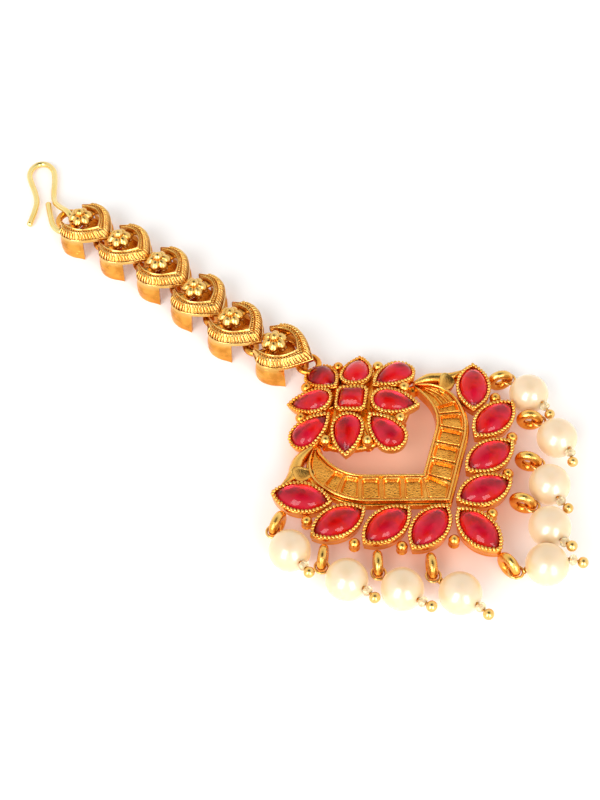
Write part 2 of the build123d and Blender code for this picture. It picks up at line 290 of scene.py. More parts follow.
def newTree(name, inputs):
    # a geometry tree with named inputs, for what repeats
    tree = bpy.data.node_groups.new(name, "GeometryNodeTree")
    tree.interface.new_socket("Geometry", in_out="INPUT", socket_type="NodeSocketGeometry")
    for label, kind, value in inputs:
        socket = tree.interface.new_socket(label, in_out="INPUT", socket_type=kind)
        if value is not None:
            socket.default_value = value
    tree.interface.new_socket("Geometry", in_out="OUTPUT", socket_type="NodeSocketGeometry")
    return tree, addNode(tree, "NodeGroupInput"), addNode(tree, "NodeGroupOutput")


def closeTree(tree, start, end, geometry):
    plain = through(tree, "GeometryNodeRealizeInstances", "Geometry", {"Geometry": geometry})
    painted = through(tree, "GeometryNodeSetMaterial", "Geometry",
                      {"Geometry": plain, "Material": start.outputs["Material"]})
    tree.links.new(painted, end.inputs["Geometry"])


def randomSize(tree, start, size):
    spread = start.outputs["Size variation"]
    low, high = mathNode(tree, "SUBTRACT", 1.0, spread), mathNode(tree, "ADD", 1.0, spread)
    factor = through(tree, "FunctionNodeRandomValue", 1, {2: low, 3: high, "Seed": start.outputs["Seed"]},
                     data_type="FLOAT")
    return through(tree, "ShaderNodeVectorMath", 0, {0: size, "Scale": factor}, operation="SCALE")


def placeOnPoints(tree, start, end, points, model, rotation, size):
    placed = through(tree, "GeometryNodeInstanceOnPoints", "Instances", {
        "Points": points,
        "Instance": model,
        "Rotation": rotation,
        "Scale": randomSize(tree, start, size),
    })
    closeTree(tree, start, end, placed)


def storedVector(tree, name):
    return through(tree, "GeometryNodeInputNamedAttribute", "Attribute", {"Name": name},
                   data_type="FLOAT_VECTOR")


def repeatTree(shape):
    # a ball or a wire ring at each point, turned and sized by what the point stores
    tree, start, end = newTree("repeat_" + shape, [
        ("Detail", "NodeSocketInt", 3),
        ("Wire", "NodeSocketFloat", 0.3),
        ("Size variation", "NodeSocketFloat", 0.0),
        ("Seed", "NodeSocketInt", 4),
        ("Material", "NodeSocketMaterial", None),
    ])
    given = start.outputs
    if shape == "ball":
        model = through(tree, "GeometryNodeMeshIcoSphere", "Mesh",
                        {"Radius": 1.0, "Subdivisions": given["Detail"]})
    else:
        line = through(tree, "GeometryNodeCurvePrimitiveCircle", "Curve", {"Radius": 1.0, "Resolution": 40})
        section = through(tree, "GeometryNodeCurvePrimitiveCircle", "Curve",
                          {"Radius": given["Wire"], "Resolution": 16})
        model = through(tree, "GeometryNodeCurveToMesh", "Mesh", {"Curve": line, "Profile Curve": section})
    rotation = through(tree, "FunctionNodeEulerToRotation", 0, {0: storedVector(tree, "turn")})
    placeOnPoints(tree, start, end, given["Geometry"], model, rotation, storedVector(tree, "size"))
    return tree


def beadRowTree():
    # beads at a fixed spacing along paths, each leaning across the path
    tree, start, end = newTree("beads_along_path", [
        ("Spacing", "NodeSocketFloat", 0.5),
        ("Bead radius", "NodeSocketFloat", 0.25),
        ("Shape", "NodeSocketVector", (1.0, 1.0, 1.0)),
        ("Lean", "NodeSocketFloat", 0.0),
        ("Detail", "NodeSocketInt", 2),
        ("Size variation", "NodeSocketFloat", 0.1),
        ("Seed", "NodeSocketInt", 7),
        ("Material", "NodeSocketMaterial", None),
    ])
    given = start.outputs
    curve = through(tree, "GeometryNodeMeshToCurve", "Curve", {0: given["Geometry"]})
    spaced = through(tree, "GeometryNodeResampleCurve", "Curve", {"Curve": curve, "Length": given["Spacing"]},
                     mode="LENGTH")
    bead = through(tree, "GeometryNodeMeshIcoSphere", "Mesh",
                   {"Radius": given["Bead radius"], "Subdivisions": given["Detail"]})
    tangent = through(tree, "GeometryNodeInputTangent", 0, {})
    aim = through(tree, "FunctionNodeAlignRotationToVector", 0, {"Vector": tangent}, axis="X", pivot_axis="Z")
    lean = through(tree, "FunctionNodeAxisAngleToRotation", 0, {"Angle": given["Lean"]})
    turn = through(tree, "FunctionNodeRotateRotation", 0, {0: aim, 1: lean}, rotation_space="LOCAL")
    placeOnPoints(tree, start, end, spaced, bead, turn, given["Shape"])
    return tree


def runTree(tree, mesh, values):
    # gives back the points and faces that a tree makes of a mesh
    carrier = bpy.data.objects.new("carrier", mesh)
    bpy.context.scene.collection.objects.link(carrier)
    modifier = carrier.modifiers.new("nodes", "NODES")
    modifier.node_group = tree
    for item in tree.interface.items_tree:
        if item.in_out == "INPUT" and item.name in values:
            modifier[item.identifier] = values[item.name]
    graph = bpy.context.evaluated_depsgraph_get()
    result = bpy.data.meshes.new_from_object(carrier.evaluated_get(graph), depsgraph=graph)
    arrays = meshArrays(result)
    carrier.modifiers.remove(modifier)
    bpy.data.objects.remove(carrier)
    bpy.data.meshes.remove(result)
    bpy.data.meshes.remove(mesh)
    return arrays


def repeated(tree, places, values):
    # each place is a point, a turn and a size
    mesh = bpy.data.meshes.new("places")
    mesh.from_pydata([tuple(place[0]) for place in places], [], [])
    for label, index in (("turn", 1), ("size", 2)):
        layer = mesh.attributes.new(label, "FLOAT_VECTOR", "POINT")
        layer.data.foreach_set("vector", np.array([place[index] for place in places], float).ravel())
    return runTree(tree, mesh, values)


def beadRows(paths, values):
    # each path is a list of points and whether it is closed
    points, edges, offset = [], [], 0
    for path, closed in paths:
        count = len(path)
        points += [tuple(point) for point in path]
        edges += [(offset + k, offset + (k + 1) % count) for k in range(count if closed else count - 1)]
        offset += count
    mesh = bpy.data.meshes.new("paths")
    mesh.from_pydata(points, edges, [])
    return runTree(beadTree, mesh, values)


ballTree = repeatTree("ball")
ringTree = repeatTree("ring")
beadTree = beadRowTree()


def mixColour(tree, factor, first, second):
    return through(tree, "ShaderNodeMix", "Result", {"Factor": factor, "A": first, "B": second},
                   data_type="RGBA")


def rangeNode(tree, value, source, target=(0.0, 1.0), **settings):
    return through(tree, "ShaderNodeMapRange", "Result", {
        "Value": value,
        "From Min": source[0],
        "From Max": source[1],
        "To Min": target[0],
        "To Max": target[1],
    }, **settings)


def noiseNode(tree, vector, scale, detail):
    return through(tree, "ShaderNodeTexNoise", "Fac", {"Vector": vector, "Scale": scale, "Detail": detail})


def objectPoint(tree):
    return through(tree, "ShaderNodeTexCoord", "Object", {})


def heightOf(tree, vector):
    return through(tree, "ShaderNodeSeparateXYZ", "Z", {0: vector})


def paintGlow(tree, shader, amount, colour):
    # painted light given off by a surface that is no lamp: none where the amount is 0, the colour where it is
    # 1
    tree.links.new(mixColour(tree, amount, (0, 0, 0, 1), colour), shader.inputs["Emission Color"])
    shader.inputs["Emission Strength"].default_value = 1.0


def addBump(tree, shader, height, strength, depth):
    normal = through(tree, "ShaderNodeBump", "Normal",
                     {"Strength": strength, "Distance": depth, "Height": height})
    tree.links.new(normal, shader.inputs["Normal"])


def newMaterial(name, plainValues):
    material = bpy.data.materials.new(name)
    material.use_nodes = True
    shader = material.node_tree.nodes["Principled BSDF"]
    for label, value in plainValues.items():
        shader.inputs[label].default_value = value
    return material, material.node_tree, shader


# Camera, light and floor; eye and target are in millimetres from the flower's centre
studio = {
    "eye": (-72.187, -89.283, 150.849),
    "target": (-4.476, 7.534, 0.0),
    "roll": -2.4,
    "lens": 54.675,
    "sensorHeight": 36.0,
    "clip": (0.01, 10.0),
    # brightness of the surroundings by height above the horizon, 0 to 1
    "sky": ((0.0, 1.0), (0.5, 1.02), (0.78, 0.9), (0.9, 0.62), (0.955, 0.16), (0.98, 0.04)),
    "skyTint": (1.0, 0.99, 0.975),
    # direction, distance, size, radiance
    "softboxes": (
        ("left_softbox", (-0.831, -0.286, 0.477), 2600, (1250, 2300), 5.2),
        ("front_softbox", (-0.134, -0.916, 0.350), 2600, (1100, 2000), 5.2),
    ),
}
floorFinish = {
    "size": 3.0,
    "level": -0.00003,
    "colour": (0.97, 0.965, 0.96, 1),
    # painted shade colour of the floor round the pendant
    "shade": (0.84, 0.50, 0.35, 1),
    "glow": (0.172, 0.101, 0.076, 1),  # painted warm light: the floor glows under the pendant where the gold would throw light on it
    "edgeGlow": (0.20, 0.17, 0.16, 1),  # painted glow beside the other pieces, which lightens their shadows
    "reach": 0.014,
    "openness": (0.97, 0.6),  # where the painted shade starts and where it is full
    "centre": (0.5, -14.0),  # of the pendant's opening
    "radius": (11.0, 24.0),
    "edgeShade": 0.1,  # share of the painted shade beside the other pieces
    "roughness": 0.9,
    "specular": 0.1,
}


def millimetres(point):
    return Vector(point) / 1000 + origin


def makeCamera():
    scene = bpy.context.scene
    camera = bpy.data.objects.new("camera", bpy.data.cameras.new("camera"))
    scene.collection.objects.link(camera)
    eye, target = millimetres(studio["eye"]), millimetres(studio["target"])
    forward = (target - eye).normalized()
    right = forward.cross(Vector((0, 0, 1))).normalized()
    upward = right.cross(forward)
    roll = math.radians(studio["roll"])
    across = right * math.cos(roll) + upward * math.sin(roll)
    over = upward * math.cos(roll) - right * math.sin(roll)
    basis = Matrix((across, over, -forward)).transposed().to_4x4()
    basis.translation = eye
    camera.matrix_world = basis
    camera.data.sensor_fit = "VERTICAL"
    camera.data.sensor_height = studio["sensorHeight"]
    camera.data.lens = studio["lens"]
    camera.data.clip_start, camera.data.clip_end = studio["clip"]
    scene.camera = camera


def makeSky():
    world = bpy.data.worlds.new("studio")
    world.use_nodes = True
    bpy.context.scene.world = world
    tree = world.node_tree
    where = through(tree, "ShaderNodeTexCoord", "Generated", {})
    ramp = addNode(tree, "ShaderNodeValToRGB")
    tree.links.new(heightOf(tree, where), ramp.inputs["Fac"])
    while len(ramp.color_ramp.elements) < len(studio["sky"]):
        ramp.color_ramp.elements.new(0.5)
    for element, (height, level) in zip(ramp.color_ramp.elements, studio["sky"]):
        element.position = height
        element.color = (*[level * share for share in studio["skyTint"]], 1)
    tree.links.new(ramp.outputs["Color"], tree.nodes["Background"].inputs["Color"])


def makeSoftbox(name, direction, distance, size, radiance):
    lamp = bpy.data.lights.new(name, "AREA")
    lamp.shape = "RECTANGLE"
    lamp.size, lamp.size_y = size[0] / 1000, size[1] / 1000
    lamp.energy = radiance * math.pi * lamp.size * lamp.size_y
    holder = bpy.data.objects.new(name, lamp)
    bpy.context.scene.collection.objects.link(holder)
    place = Vector(direction).normalized() * distance
    turn = (-place).to_track_quat("-Z", "Y").to_matrix().to_4x4()
    turn.translation = millimetres(place)
    holder.matrix_world = turn


def floorMaterial():
    material, tree, shader = newMaterial("pale_floor", {
        "Roughness": floorFinish["roughness"],
        "Specular IOR Level": floorFinish["specular"],
    })
    # painted shade and painted bounce light: where ambient occlusion finds the floor closed in, most of all
    # under the pendant, it turns salmon and glows
    openness = through(tree, "ShaderNodeAmbientOcclusion", "AO", {"Distance": floorFinish["reach"]},
                       samples=16)
    near = rangeNode(tree, openness, floorFinish["openness"], interpolation_type="SMOOTHSTEP")
    away = through(tree, "ShaderNodeVectorMath", "Value",
                   {0: objectPoint(tree), 1: millimetres((*floorFinish["centre"], 0))}, operation="DISTANCE")
    inside, outside = floorFinish["radius"]
    under = rangeNode(tree, away, (inside / 1000, outside / 1000), (1.0, floorFinish["edgeShade"]),
                      interpolation_type="SMOOTHSTEP")
    shadeShare = mathNode(tree, "MULTIPLY", near, under)
    shadeColour = mixColour(tree, shadeShare, floorFinish["colour"], floorFinish["shade"])
    tree.links.new(shadeColour, shader.inputs["Base Color"])
    paintGlow(tree, shader, near, mixColour(tree, under, floorFinish["edgeGlow"], floorFinish["glow"]))
    return material


def makeFloor():
    half, level = floorFinish["size"] / 2, floorFinish["level"]
    corners = [(-half, -half, level), (half, -half, level), (half, half, level), (-half, half, level)]
    mesh = bpy.data.meshes.new("floor")
    mesh.from_pydata(corners, [], [(0, 1, 2, 3)])
    mesh.materials.append(floorMaterial())
    floor = bpy.data.objects.new("floor", mesh)
    bpy.context.scene.collection.objects.link(floor)


bpy.context.scene.view_settings.view_transform = "Standard"
makeCamera()
makeSky()
for softbox in studio["softboxes"]:
    makeSoftbox(*softbox)
makeFloor()
print("studio ready")


def shaderGroup(name, inputs, outputs):
    # an effect that more than one material uses
    group = bpy.data.node_groups.new(name, "ShaderNodeTree")
    for label, kind, value in inputs:
        socket = group.interface.new_socket(label, in_out="INPUT", socket_type=kind)
        if value is not None:
            socket.default_value = value
    for label, kind in outputs:
        group.interface.new_socket(label, in_out="OUTPUT", socket_type=kind)
    return group, addNode(group, "NodeGroupInput"), addNode(group, "NodeGroupOutput")


grainDetail, broadScale, broadDetail = 3.0, 420.0, 2.0
# painted shade and bounce light in hollows
recessShade = {
    "openness": (0.25, 0.92),  # from a full hollow to none
    "variation": (0.3, 0.7),
    "spread": (0.75, 1.2),
}


def makeGrainGroup():
    group, start, end = shaderGroup(
        "cast_grain",
        [("Vector", "NodeSocketVector", None), ("Grain scale", "NodeSocketFloat", 5000.0)],
        [("Height", "NodeSocketFloat"), ("Variation", "NodeSocketFloat")],
    )
    where = start.outputs["Vector"]
    group.links.new(noiseNode(group, where, start.outputs["Grain scale"], grainDetail), end.inputs["Height"])
    group.links.new(noiseNode(group, where, broadScale, broadDetail), end.inputs["Variation"])
    return group


def makeRecessGroup():
    group, start, end = shaderGroup(
        "painted_recess_shade",
        [("Reach", "NodeSocketFloat", 0.001), ("Variation", "NodeSocketFloat", 0.5)],
        [("Recess", "NodeSocketFloat")],
    )
    # painted shade: where ambient occlusion finds a hollow, the gold takes its darker, redder recess colour
    openness = through(group, "ShaderNodeAmbientOcclusion", "AO", {"Distance": start.outputs["Reach"]},
                       samples=8)
    mask = rangeNode(group, openness, recessShade["openness"], (1.0, 0.0))
    spread = rangeNode(group, start.outputs["Variation"], recessShade["variation"], recessShade["spread"])
    group.links.new(mathNode(group, "MULTIPLY", mask, spread, use_clamp=True), end.inputs["Recess"])
    return group


grainGroup = makeGrainGroup()
recessGroup = makeRecessGroup()
# ranges of the grain's outputs over which a gold changes tone and roughness
toneSpan, lowToneSpan, roughSpan = (0.35, 0.65), (0.42, 0.62), (0.3, 0.7)


def goldMaterial(values):
    material, tree, shader = newMaterial(values["name"], {"Metallic": 1.0})
    where = objectPoint(tree)
    height = through(tree, "ShaderNodeGroup", "Height",
                     {"Vector": where, "Grain scale": values["grainScale"]}, node_tree=grainGroup)
    variation = height.node.outputs["Variation"]
    recess = through(tree, "ShaderNodeGroup", "Recess",
                     {"Reach": values["recessReach"], "Variation": variation}, node_tree=recessGroup)
    tone = mixColour(tree, rangeNode(tree, variation, toneSpan), values["colour"], values["secondColour"])
    lowShare = rangeNode(tree, variation, lowToneSpan)
    lowTone = mixColour(tree, lowShare, values["lowColour"], values["lowSecond"])
    # painted shade low down: below the given heights the gold turns redder
    deep, shallow, share = values["lowShade"]
    lower = rangeNode(tree, heightOf(tree, where), (deep, shallow), (share, 0.0))
    shadedTone = mixColour(tree, lower, tone, lowTone)
    # painted shade and bounce light in the hollows, over the toned gold
    tree.links.new(mixColour(tree, recess, shadedTone, values["recessColour"]), shader.inputs["Base Color"])
    tree.links.new(rangeNode(tree, height, roughSpan, values["roughness"]), shader.inputs["Roughness"])
    addBump(tree, shader, height, values["bump"], values["bumpDepth"])
    return material


# lowShade is painted shade and bounce light, a redder colour low on the castings: from and to in metres, and
# its share
antiqueGold = goldMaterial({
    "name": "antique_gold",
    "colour": (0.91, 0.57, 0.155, 1),
    "secondColour": (0.85, 0.46, 0.10, 1),
    "recessColour": (0.82, 0.35, 0.035, 1),
    "lowColour": (1.0, 0.44, 0.07, 1),
    "lowSecond": (0.84, 0.32, 0.04, 1),
    "lowShade": (0.0029, 0.0037, 0.9),
    "roughness": (0.14, 0.26),
    "grainScale": 4200.0,
    "recessReach": 0.0011,
    "bump": 0.7,
    "bumpDepth": 0.00005,
})
# the links' gold: partly its own more yellow tone, partly painted shade, darker so that the links, which
# catch more light, come out no brighter than the pendant
linkGold = goldMaterial({
    "name": "link_gold",
    "colour": (0.86, 0.57, 0.19, 1),
    "secondColour": (0.80, 0.47, 0.12, 1),
    "recessColour": (0.62, 0.27, 0.03, 1),
    "lowColour": (0.90, 0.39, 0.06, 1),
    "lowSecond": (0.64, 0.24, 0.03, 1),
    "lowShade": (0.0026, 0.0035, 0.9),
    "roughness": (0.12, 0.24),
    "grainScale": 4200.0,
    "recessReach": 0.0011,
    "bump": 0.8,
    "bumpDepth": 0.00005,
})
brightGold = goldMaterial({
    "name": "bright_gold",
    "colour": (0.94, 0.75, 0.31, 1),
    "secondColour": (0.92, 0.69, 0.24, 1),
    "recessColour": (0.75, 0.38, 0.06, 1),
    "lowColour": (0.8, 0.4, 0.06, 1),
    "lowSecond": (0.8, 0.4, 0.06, 1),
    "lowShade": (0.0, 0.001, 0.0),
    "roughness": (0.08, 0.15),
    "grainScale": 2600.0,
    "recessReach": 0.0005,
    "bump": 0.12,
    "bumpDepth": 0.00002,
})
pinGold = goldMaterial({
    "name": "pin_gold",
    "colour": (0.93, 0.62, 0.22, 1),
    "secondColour": (0.88, 0.54, 0.15, 1),
    "recessColour": (0.65, 0.27, 0.04, 1),
    "lowColour": (0.8, 0.4, 0.06, 1),
    "lowSecond": (0.8, 0.4, 0.06, 1),
    "lowShade": (0.0, 0.001, 0.0),
    "roughness": (0.16, 0.26),
    "grainScale": 3800.0,
    "recessReach": 0.0006,
    "bump": 0.2,
    "bumpDepth": 0.00002,
})


ruby = {
    "colour": (0.93, 0.018, 0.05, 1),
    "roughness": 0.02,
    "ior": 1.38,
    "clearness": 1.0,
    "ripple": 0.08,
    "paintedSideGlow": (0.12, 0.003, 0.006, 1),
    "sideSpan": (0.3, 0.55),  # how level a face is, from a side to none
    # painted shade at the stone's edge
    "rimShadeColour": (0.15, 0.001, 0.002, 1),
}
seedGlass = {
    "colour": (1.0, 0.90, 0.62, 1),
    "roughness": 0.06,
    "ior": 1.45,
    "clearness": 0.72,
    "ripple": 0.1,
}
rippleScale, rippleDetail, rippleDepth = 700.0, 1.0, 0.0001
foilFinish = {
    "metallic": 0.85,
    "roughness": 0.34,
    "tones": ((0.95, 0.42, 0.12, 1), (0.90, 0.50, 0.80, 1)),
    "toneScale": 420.0,
    "toneSpan": (0.42, 0.58),
    "slopeShade": (0.26, 0.07, 0.08, 1),
    "slopeShadeSpan": (0.79, 0.955),  # how level the foil is, from the painted shade on its slopes to its own colour
    "bump": 0.8,
    "bumpDepth": 0.00016,
    "bumpScale": 800.0,
}
pearlFinish = {
    "plain": {
        "Roughness": 0.28,
        "Specular IOR Level": 0.55,
        "Subsurface Weight": 0.6,
        "Subsurface Scale": 1.0,
        "Subsurface Radius": (0.0012, 0.0008, 0.0005),
        "Coat Weight": 0.85,
        "Coat Roughness": 0.21,
        "Coat IOR": 2.0,
        "Sheen Weight": 0.15,
    },
    "tones": ((0.67, 0.515, 0.33, 1), (0.70, 0.55, 0.39, 1)),
    "toneScale": 260.0,
    "toneSpan": (0.35, 0.65),
    # painted warm rim light and glow, set by how far a face turns from the eye
    "rimColour": (0.82, 0.53, 0.20, 1),
    "rimBlend": 0.35,
    "glowColour": (1.0, 0.68, 0.30, 1),
    "glowSpan": (0.1, 0.9),
    "glow": (0.03, 0.3),
    "bump": 0.15,
    "bumpDepth": 0.00005,
    "bumpScale": 900.0,
}


def glassMaterial(name, values):
    material, tree, shader = newMaterial(name, {
        "Base Color": values["colour"],
        "Roughness": values["roughness"],
        "IOR": values["ior"],
        "Transmission Weight": values["clearness"],
    })
    ripples = noiseNode(tree, objectPoint(tree), rippleScale, rippleDetail)
    addBump(tree, shader, ripples, values["ripple"], rippleDepth)
    return material


def levelness(tree, surface):
    # 1 on a level face, 0 on an upright one
    return mathNode(tree, "ABSOLUTE", heightOf(tree, surface.outputs["True Normal"]))


def rubyMaterial():
    material = glassMaterial("ruby_glass", ruby)
    tree = material.node_tree
    shader = tree.nodes["Principled BSDF"]
    # painted light: inside the stone, its sides glow red, standing in for the foil's red that light can't
    # carry out past the setting
    surface = addNode(tree, "ShaderNodeNewGeometry")
    side = rangeNode(tree, levelness(tree, surface), ruby["sideSpan"], (1.0, 0.0))
    paintGlow(tree, shader, mathNode(tree, "MULTIPLY", side, surface.outputs["Backfacing"]), ruby["paintedSideGlow"])
    # painted shade: the colour deepens towards the thin edge and the tips
    edge = through(tree, "ShaderNodeAttribute", "Fac", {}, attribute_name="girdle")
    tree.links.new(mixColour(tree, edge, ruby["colour"], ruby["rimShadeColour"]), shader.inputs["Base Color"])
    return material


def toneNoise(tree, where, values):
    patches = noiseNode(tree, where, values["toneScale"], 2.0)
    return mixColour(tree, rangeNode(tree, patches, values["toneSpan"]), *values["tones"])


def foilMaterial():
    material, tree, shader = newMaterial("stone_foil", {
        "Metallic": foilFinish["metallic"],
        "Roughness": foilFinish["roughness"],
    })
    where = objectPoint(tree)
    # painted shade: the foil's sloping rim turns dark
    level = rangeNode(tree, levelness(tree, addNode(tree, "ShaderNodeNewGeometry")), foilFinish["slopeShadeSpan"])
    colour = mixColour(tree, level, foilFinish["slopeShade"], toneNoise(tree, where, foilFinish))
    tree.links.new(colour, shader.inputs["Base Color"])
    wrinkles = noiseNode(tree, where, foilFinish["bumpScale"], 1.0)
    addBump(tree, shader, wrinkles, foilFinish["bump"], foilFinish["bumpDepth"])
    return material


def pearlMaterial():
    material, tree, shader = newMaterial("cream_pearl", pearlFinish["plain"])
    where = objectPoint(tree)
    # painted light: towards its outline the pearl turns a warm yellow and glows, standing in for light
    # carried through it and thrown back from around it
    rim = through(tree, "ShaderNodeLayerWeight", "Facing", {"Blend": pearlFinish["rimBlend"]})
    paintedRimColour = mixColour(tree, rim, toneNoise(tree, where, pearlFinish), pearlFinish["rimColour"])
    tree.links.new(paintedRimColour, shader.inputs["Base Color"])
    glow = rangeNode(tree, rim, pearlFinish["glowSpan"], pearlFinish["glow"])
    paintGlow(tree, shader, glow, pearlFinish["glowColour"])
    skin = noiseNode(tree, where, pearlFinish["bumpScale"], 2.0)
    addBump(tree, shader, skin, pearlFinish["bump"], pearlFinish["bumpDepth"])
    return material


rubyGlass = rubyMaterial()
clearGlass = glassMaterial("clear_glass", seedGlass)
stoneFoil = foilMaterial()
creamPearl = pearlMaterial()
print("materials ready")


# Stones and their settings
setting = {
    "rimHeight": 3.6,
    "castDepth": 1.9,
    "pocketDepth": 0.8,
    "girdle": 0.45,
    "fitGap": 0.05,
    "lowest": 0.03,  # the petals by the chain rest on the surface
    "marquise": (7.8, 4.2),
    "pearWidth": 4.0,
    "squareSide": 3.8,
    "squareCorner": 0.5,
    "squareHeight": 1.55,
    "squareCurve": (2.6, 0.66),
    "squareFoot": 0.6,
    "domeHeight": 0.78,  # share of the half width
    "backDepth": 0.46,  # of the foil's bowl under a cabochon
    "bowlWidth": 1.2,  # half width from which the bowl has its full depth
    "tip": (0.9995, 0.012),  # share of the length that the rings reach, and the least half width
    "foilLevel": 0.02,  # faces that lie below it are the foil
    "rimShadeSpan": (0.02, 0.62),  # heights between which the painted edge shade fades out, going up
    "beadLine": 0.30,  # centre of the bead row, from the stone's edge
    "beadRadius": 0.35,
    "beadSpacing": 0.56,
    "beadShape": (0.74, 1.12, 0.95),
    "beadLean": 0.6,
}
# Section of a setting's wall: distance from the stone's edge, height from the rim
wallTop = ((0.04, -0.80), (0.04, -0.26), (0.07, -0.16), (0.14, -0.14), (0.42, -0.15), (0.52, -0.22),
           (0.56, -0.36))
petalWall = (*wallTop, (0.56, -1.0), (0.50, -1.25), (0.25, -1.65), (-0.2, -1.90))
marquiseWall = (*wallTop, (0.50, -0.9), (0.42, -1.25), (0.36, -1.5), (0.36, -1.90))


def marquiseOutline(length, width, count=80):
    radius = (length**2 / 4 + width**2 / 4) / width
    sweep = math.degrees(math.asin(length / 2 / radius))
    upper = arc((0, width / 2 - radius), radius, 90 - sweep, 90 + sweep, count // 2 + 1)
    lower = arc((0, radius - width / 2), radius, 270 - sweep, 270 + sweep, count // 2 + 1)
    return np.concatenate((upper[:-1], lower[:-1]))


def pearOutline(length, width, count=80):
    radius = width / 2
    middle = radius - length / 2
    extra = 6  # more points on the long sides than round the back
    upper = tangentArc((middle, radius), (1, 0), (length / 2, 0), count // 4 + extra)
    lower = upper[::-1] * (1, -1)
    back = arc((middle, 0), radius, 90, 270, count // 2 - extra)
    return np.concatenate((upper[::-1][:-1], back[:-1], lower[::-1][:-1]))


def squareOutline(side, count=80):
    corner = setting["squareCorner"]
    inside = side / 2 - corner
    edgePoints = 8
    points = []
    for step, (x, y) in enumerate(((1, 1), (-1, 1), (-1, -1), (1, -1))):
        start = 90 * step
        points.append(arc((x * inside, y * inside), corner, start, start + 90, count // 4 - edgePoints))
        edgeStart = np.array((x, y)) * inside + heading(start + 90) * corner
        reaches = np.linspace(0, 2 * inside, edgePoints + 2)[1:-1]
        points.append(edgeStart + np.outer(reaches, heading(start + 180)))
    return np.concatenate(points)


def settingWall(outline, section):
    flat = np.asarray(outline)
    outward = -leftOf(flat, closed=True)
    rings = []
    for reach, height in section:
        ring = flat + outward * reach
        rings.append(np.column_stack((ring, np.full(len(ring), height))))
    return loft(rings)


def beadPath(outline):
    flat = np.asarray(outline)
    ring = flat - leftOf(flat, closed=True) * setting["beadLine"]
    return np.column_stack((ring, np.zeros(len(ring))))


def halfWidth(kind, length, width, x):
    # of a pear or a marquise, at a distance x from its middle
    radius = width / 2
    if kind == "pear":
        middle = radius - length / 2
        if x < middle:
            return math.sqrt(max(radius**2 - (x - middle) ** 2, 0))
        reach = length / 2 - middle
        side = (reach**2 + radius**2) / (2 * radius)
        return max(math.sqrt(side**2 - (x - middle) ** 2) - side + radius, 0)
    side = (length**2 / 4 + radius**2) / width
    return max(math.sqrt(side**2 - x**2) - side + radius, 0)


def cabochon(kind, length, width):
    reach, thinnest = setting["tip"]
    rings = []
    for step in np.linspace(0, math.pi, 61):
        x = -math.cos(step) * length / 2 * reach
        half = max(halfWidth(kind, length, width, x), thinnest)
        rise = half * setting["domeHeight"]
        depth = setting["backDepth"] * min(half / setting["bowlWidth"], 1)
        dome = [(x, half * math.cos(turn), rise * math.sin(turn)) for turn in np.linspace(0, math.pi, 33)]
        base = [(x, half * share, -depth * (1 - share**4)) for share in np.linspace(-1, 1, 17)[1:-1]]
        rings.append(dome + base)
    return loft(rings)


def cushionStone():
    height, girdle = setting["squareHeight"], setting["girdle"]
    flatness, roundness = setting["squareCurve"]
    outline = squareOutline(setting["squareSide"])
    rings = []
    for share in np.linspace(0.02, 1, 28):
        rise = (1 - share**flatness) ** roundness * height
        rings.append(np.column_stack((outline * share, np.full(len(outline), rise))))
    rings.append(np.column_stack((outline, np.full(len(outline), -girdle))))
    return loft(rings)


flower = {
    "height": 3.65,
    "lean": (-9, -3),
    "petals": 8,
    "slope": 12,
    # distance from the middle, length of the stone
    "chainPetal": (7.4, 6.0),
    "axisPetal": (8.1, 6.5),
    "cornerPetal": (6.6, 6.3),
    "cornerLift": 0.15,
    "centreLift": 0.95,
    "centreDepth": 3.0,
    # section of the plate under the petals: distance from the middle, height
    "plate": ((0.02, -0.9), (3.6, -0.9), (4.6, -0.6), (8.3, -1.0), (8.65, -1.1), (8.8, -1.3),
              (8.8, -1.9), (0.02, -1.9)),
    # metal between two petals: distance from the middle, height, half width
    "rib": ((3.1, 0.2, 0.1), (4.2, 0.3, 0.3), (6.0, -0.02, 0.44), (8.0, -0.45, 0.5)),
    "granuleRadius": 0.85,
    "granuleReach": 8.3,
    "granuleLift": -0.25,
    "hornRoot": (9.4, -3.3),
    "hornPost": (0.7, 1.15),  # radius and height of the post under a horn's root
}
# Middle of each marquise stone down one side, and its turn
marquiseSeats = (
    (16.66, -9.15, 49.0),
    (14.97, -15.67, 8.0),
    (9.84, -20.35, -3.0),
    (5.15, -24.37, -15.0),
    (0.0, axisStoneY, 90.0),
)


def flowerPlace():
    leanX, leanY = flower["lean"]
    return shift(0, 0, flower["height"]) @ turnAbout(leanX, "X") @ turnAbout(leanY, "Y")


def petalPlaces():
    found = []
    for step in range(flower["petals"]):
        onAxis = step % 2 == 0
        reach, length = flower["axisPetal"] if onAxis else flower["cornerPetal"]
        if step == 0:
            reach, length = flower["chainPetal"]
        lift = 0 if onAxis else flower["cornerLift"]
        turn = 90 - 360 / flower["petals"] * step
        place = turnAbout(turn, "Z") @ shift(reach, 0, lift) @ turnAbout(flower["slope"], "Y")
        found.append((flowerPlace() @ place @ turnAbout(180 if onAxis else 0, "Z"), length))
    return found


def centrePlace():
    return flowerPlace() @ shift(0, 0, flower["centreLift"]) @ turnAbout(45, "Z")


def marquisePlaces():
    places = []
    for x, y, turn in marquiseSeats:
        places.append(shift(x, y, setting["rimHeight"]) @ turnAbout(turn, "Z"))
    for x, y, turn in reversed(marquiseSeats[:-1]):
        places.append(shift(-x, y, setting["rimHeight"]) @ turnAbout(-turn, "Z"))
    return places


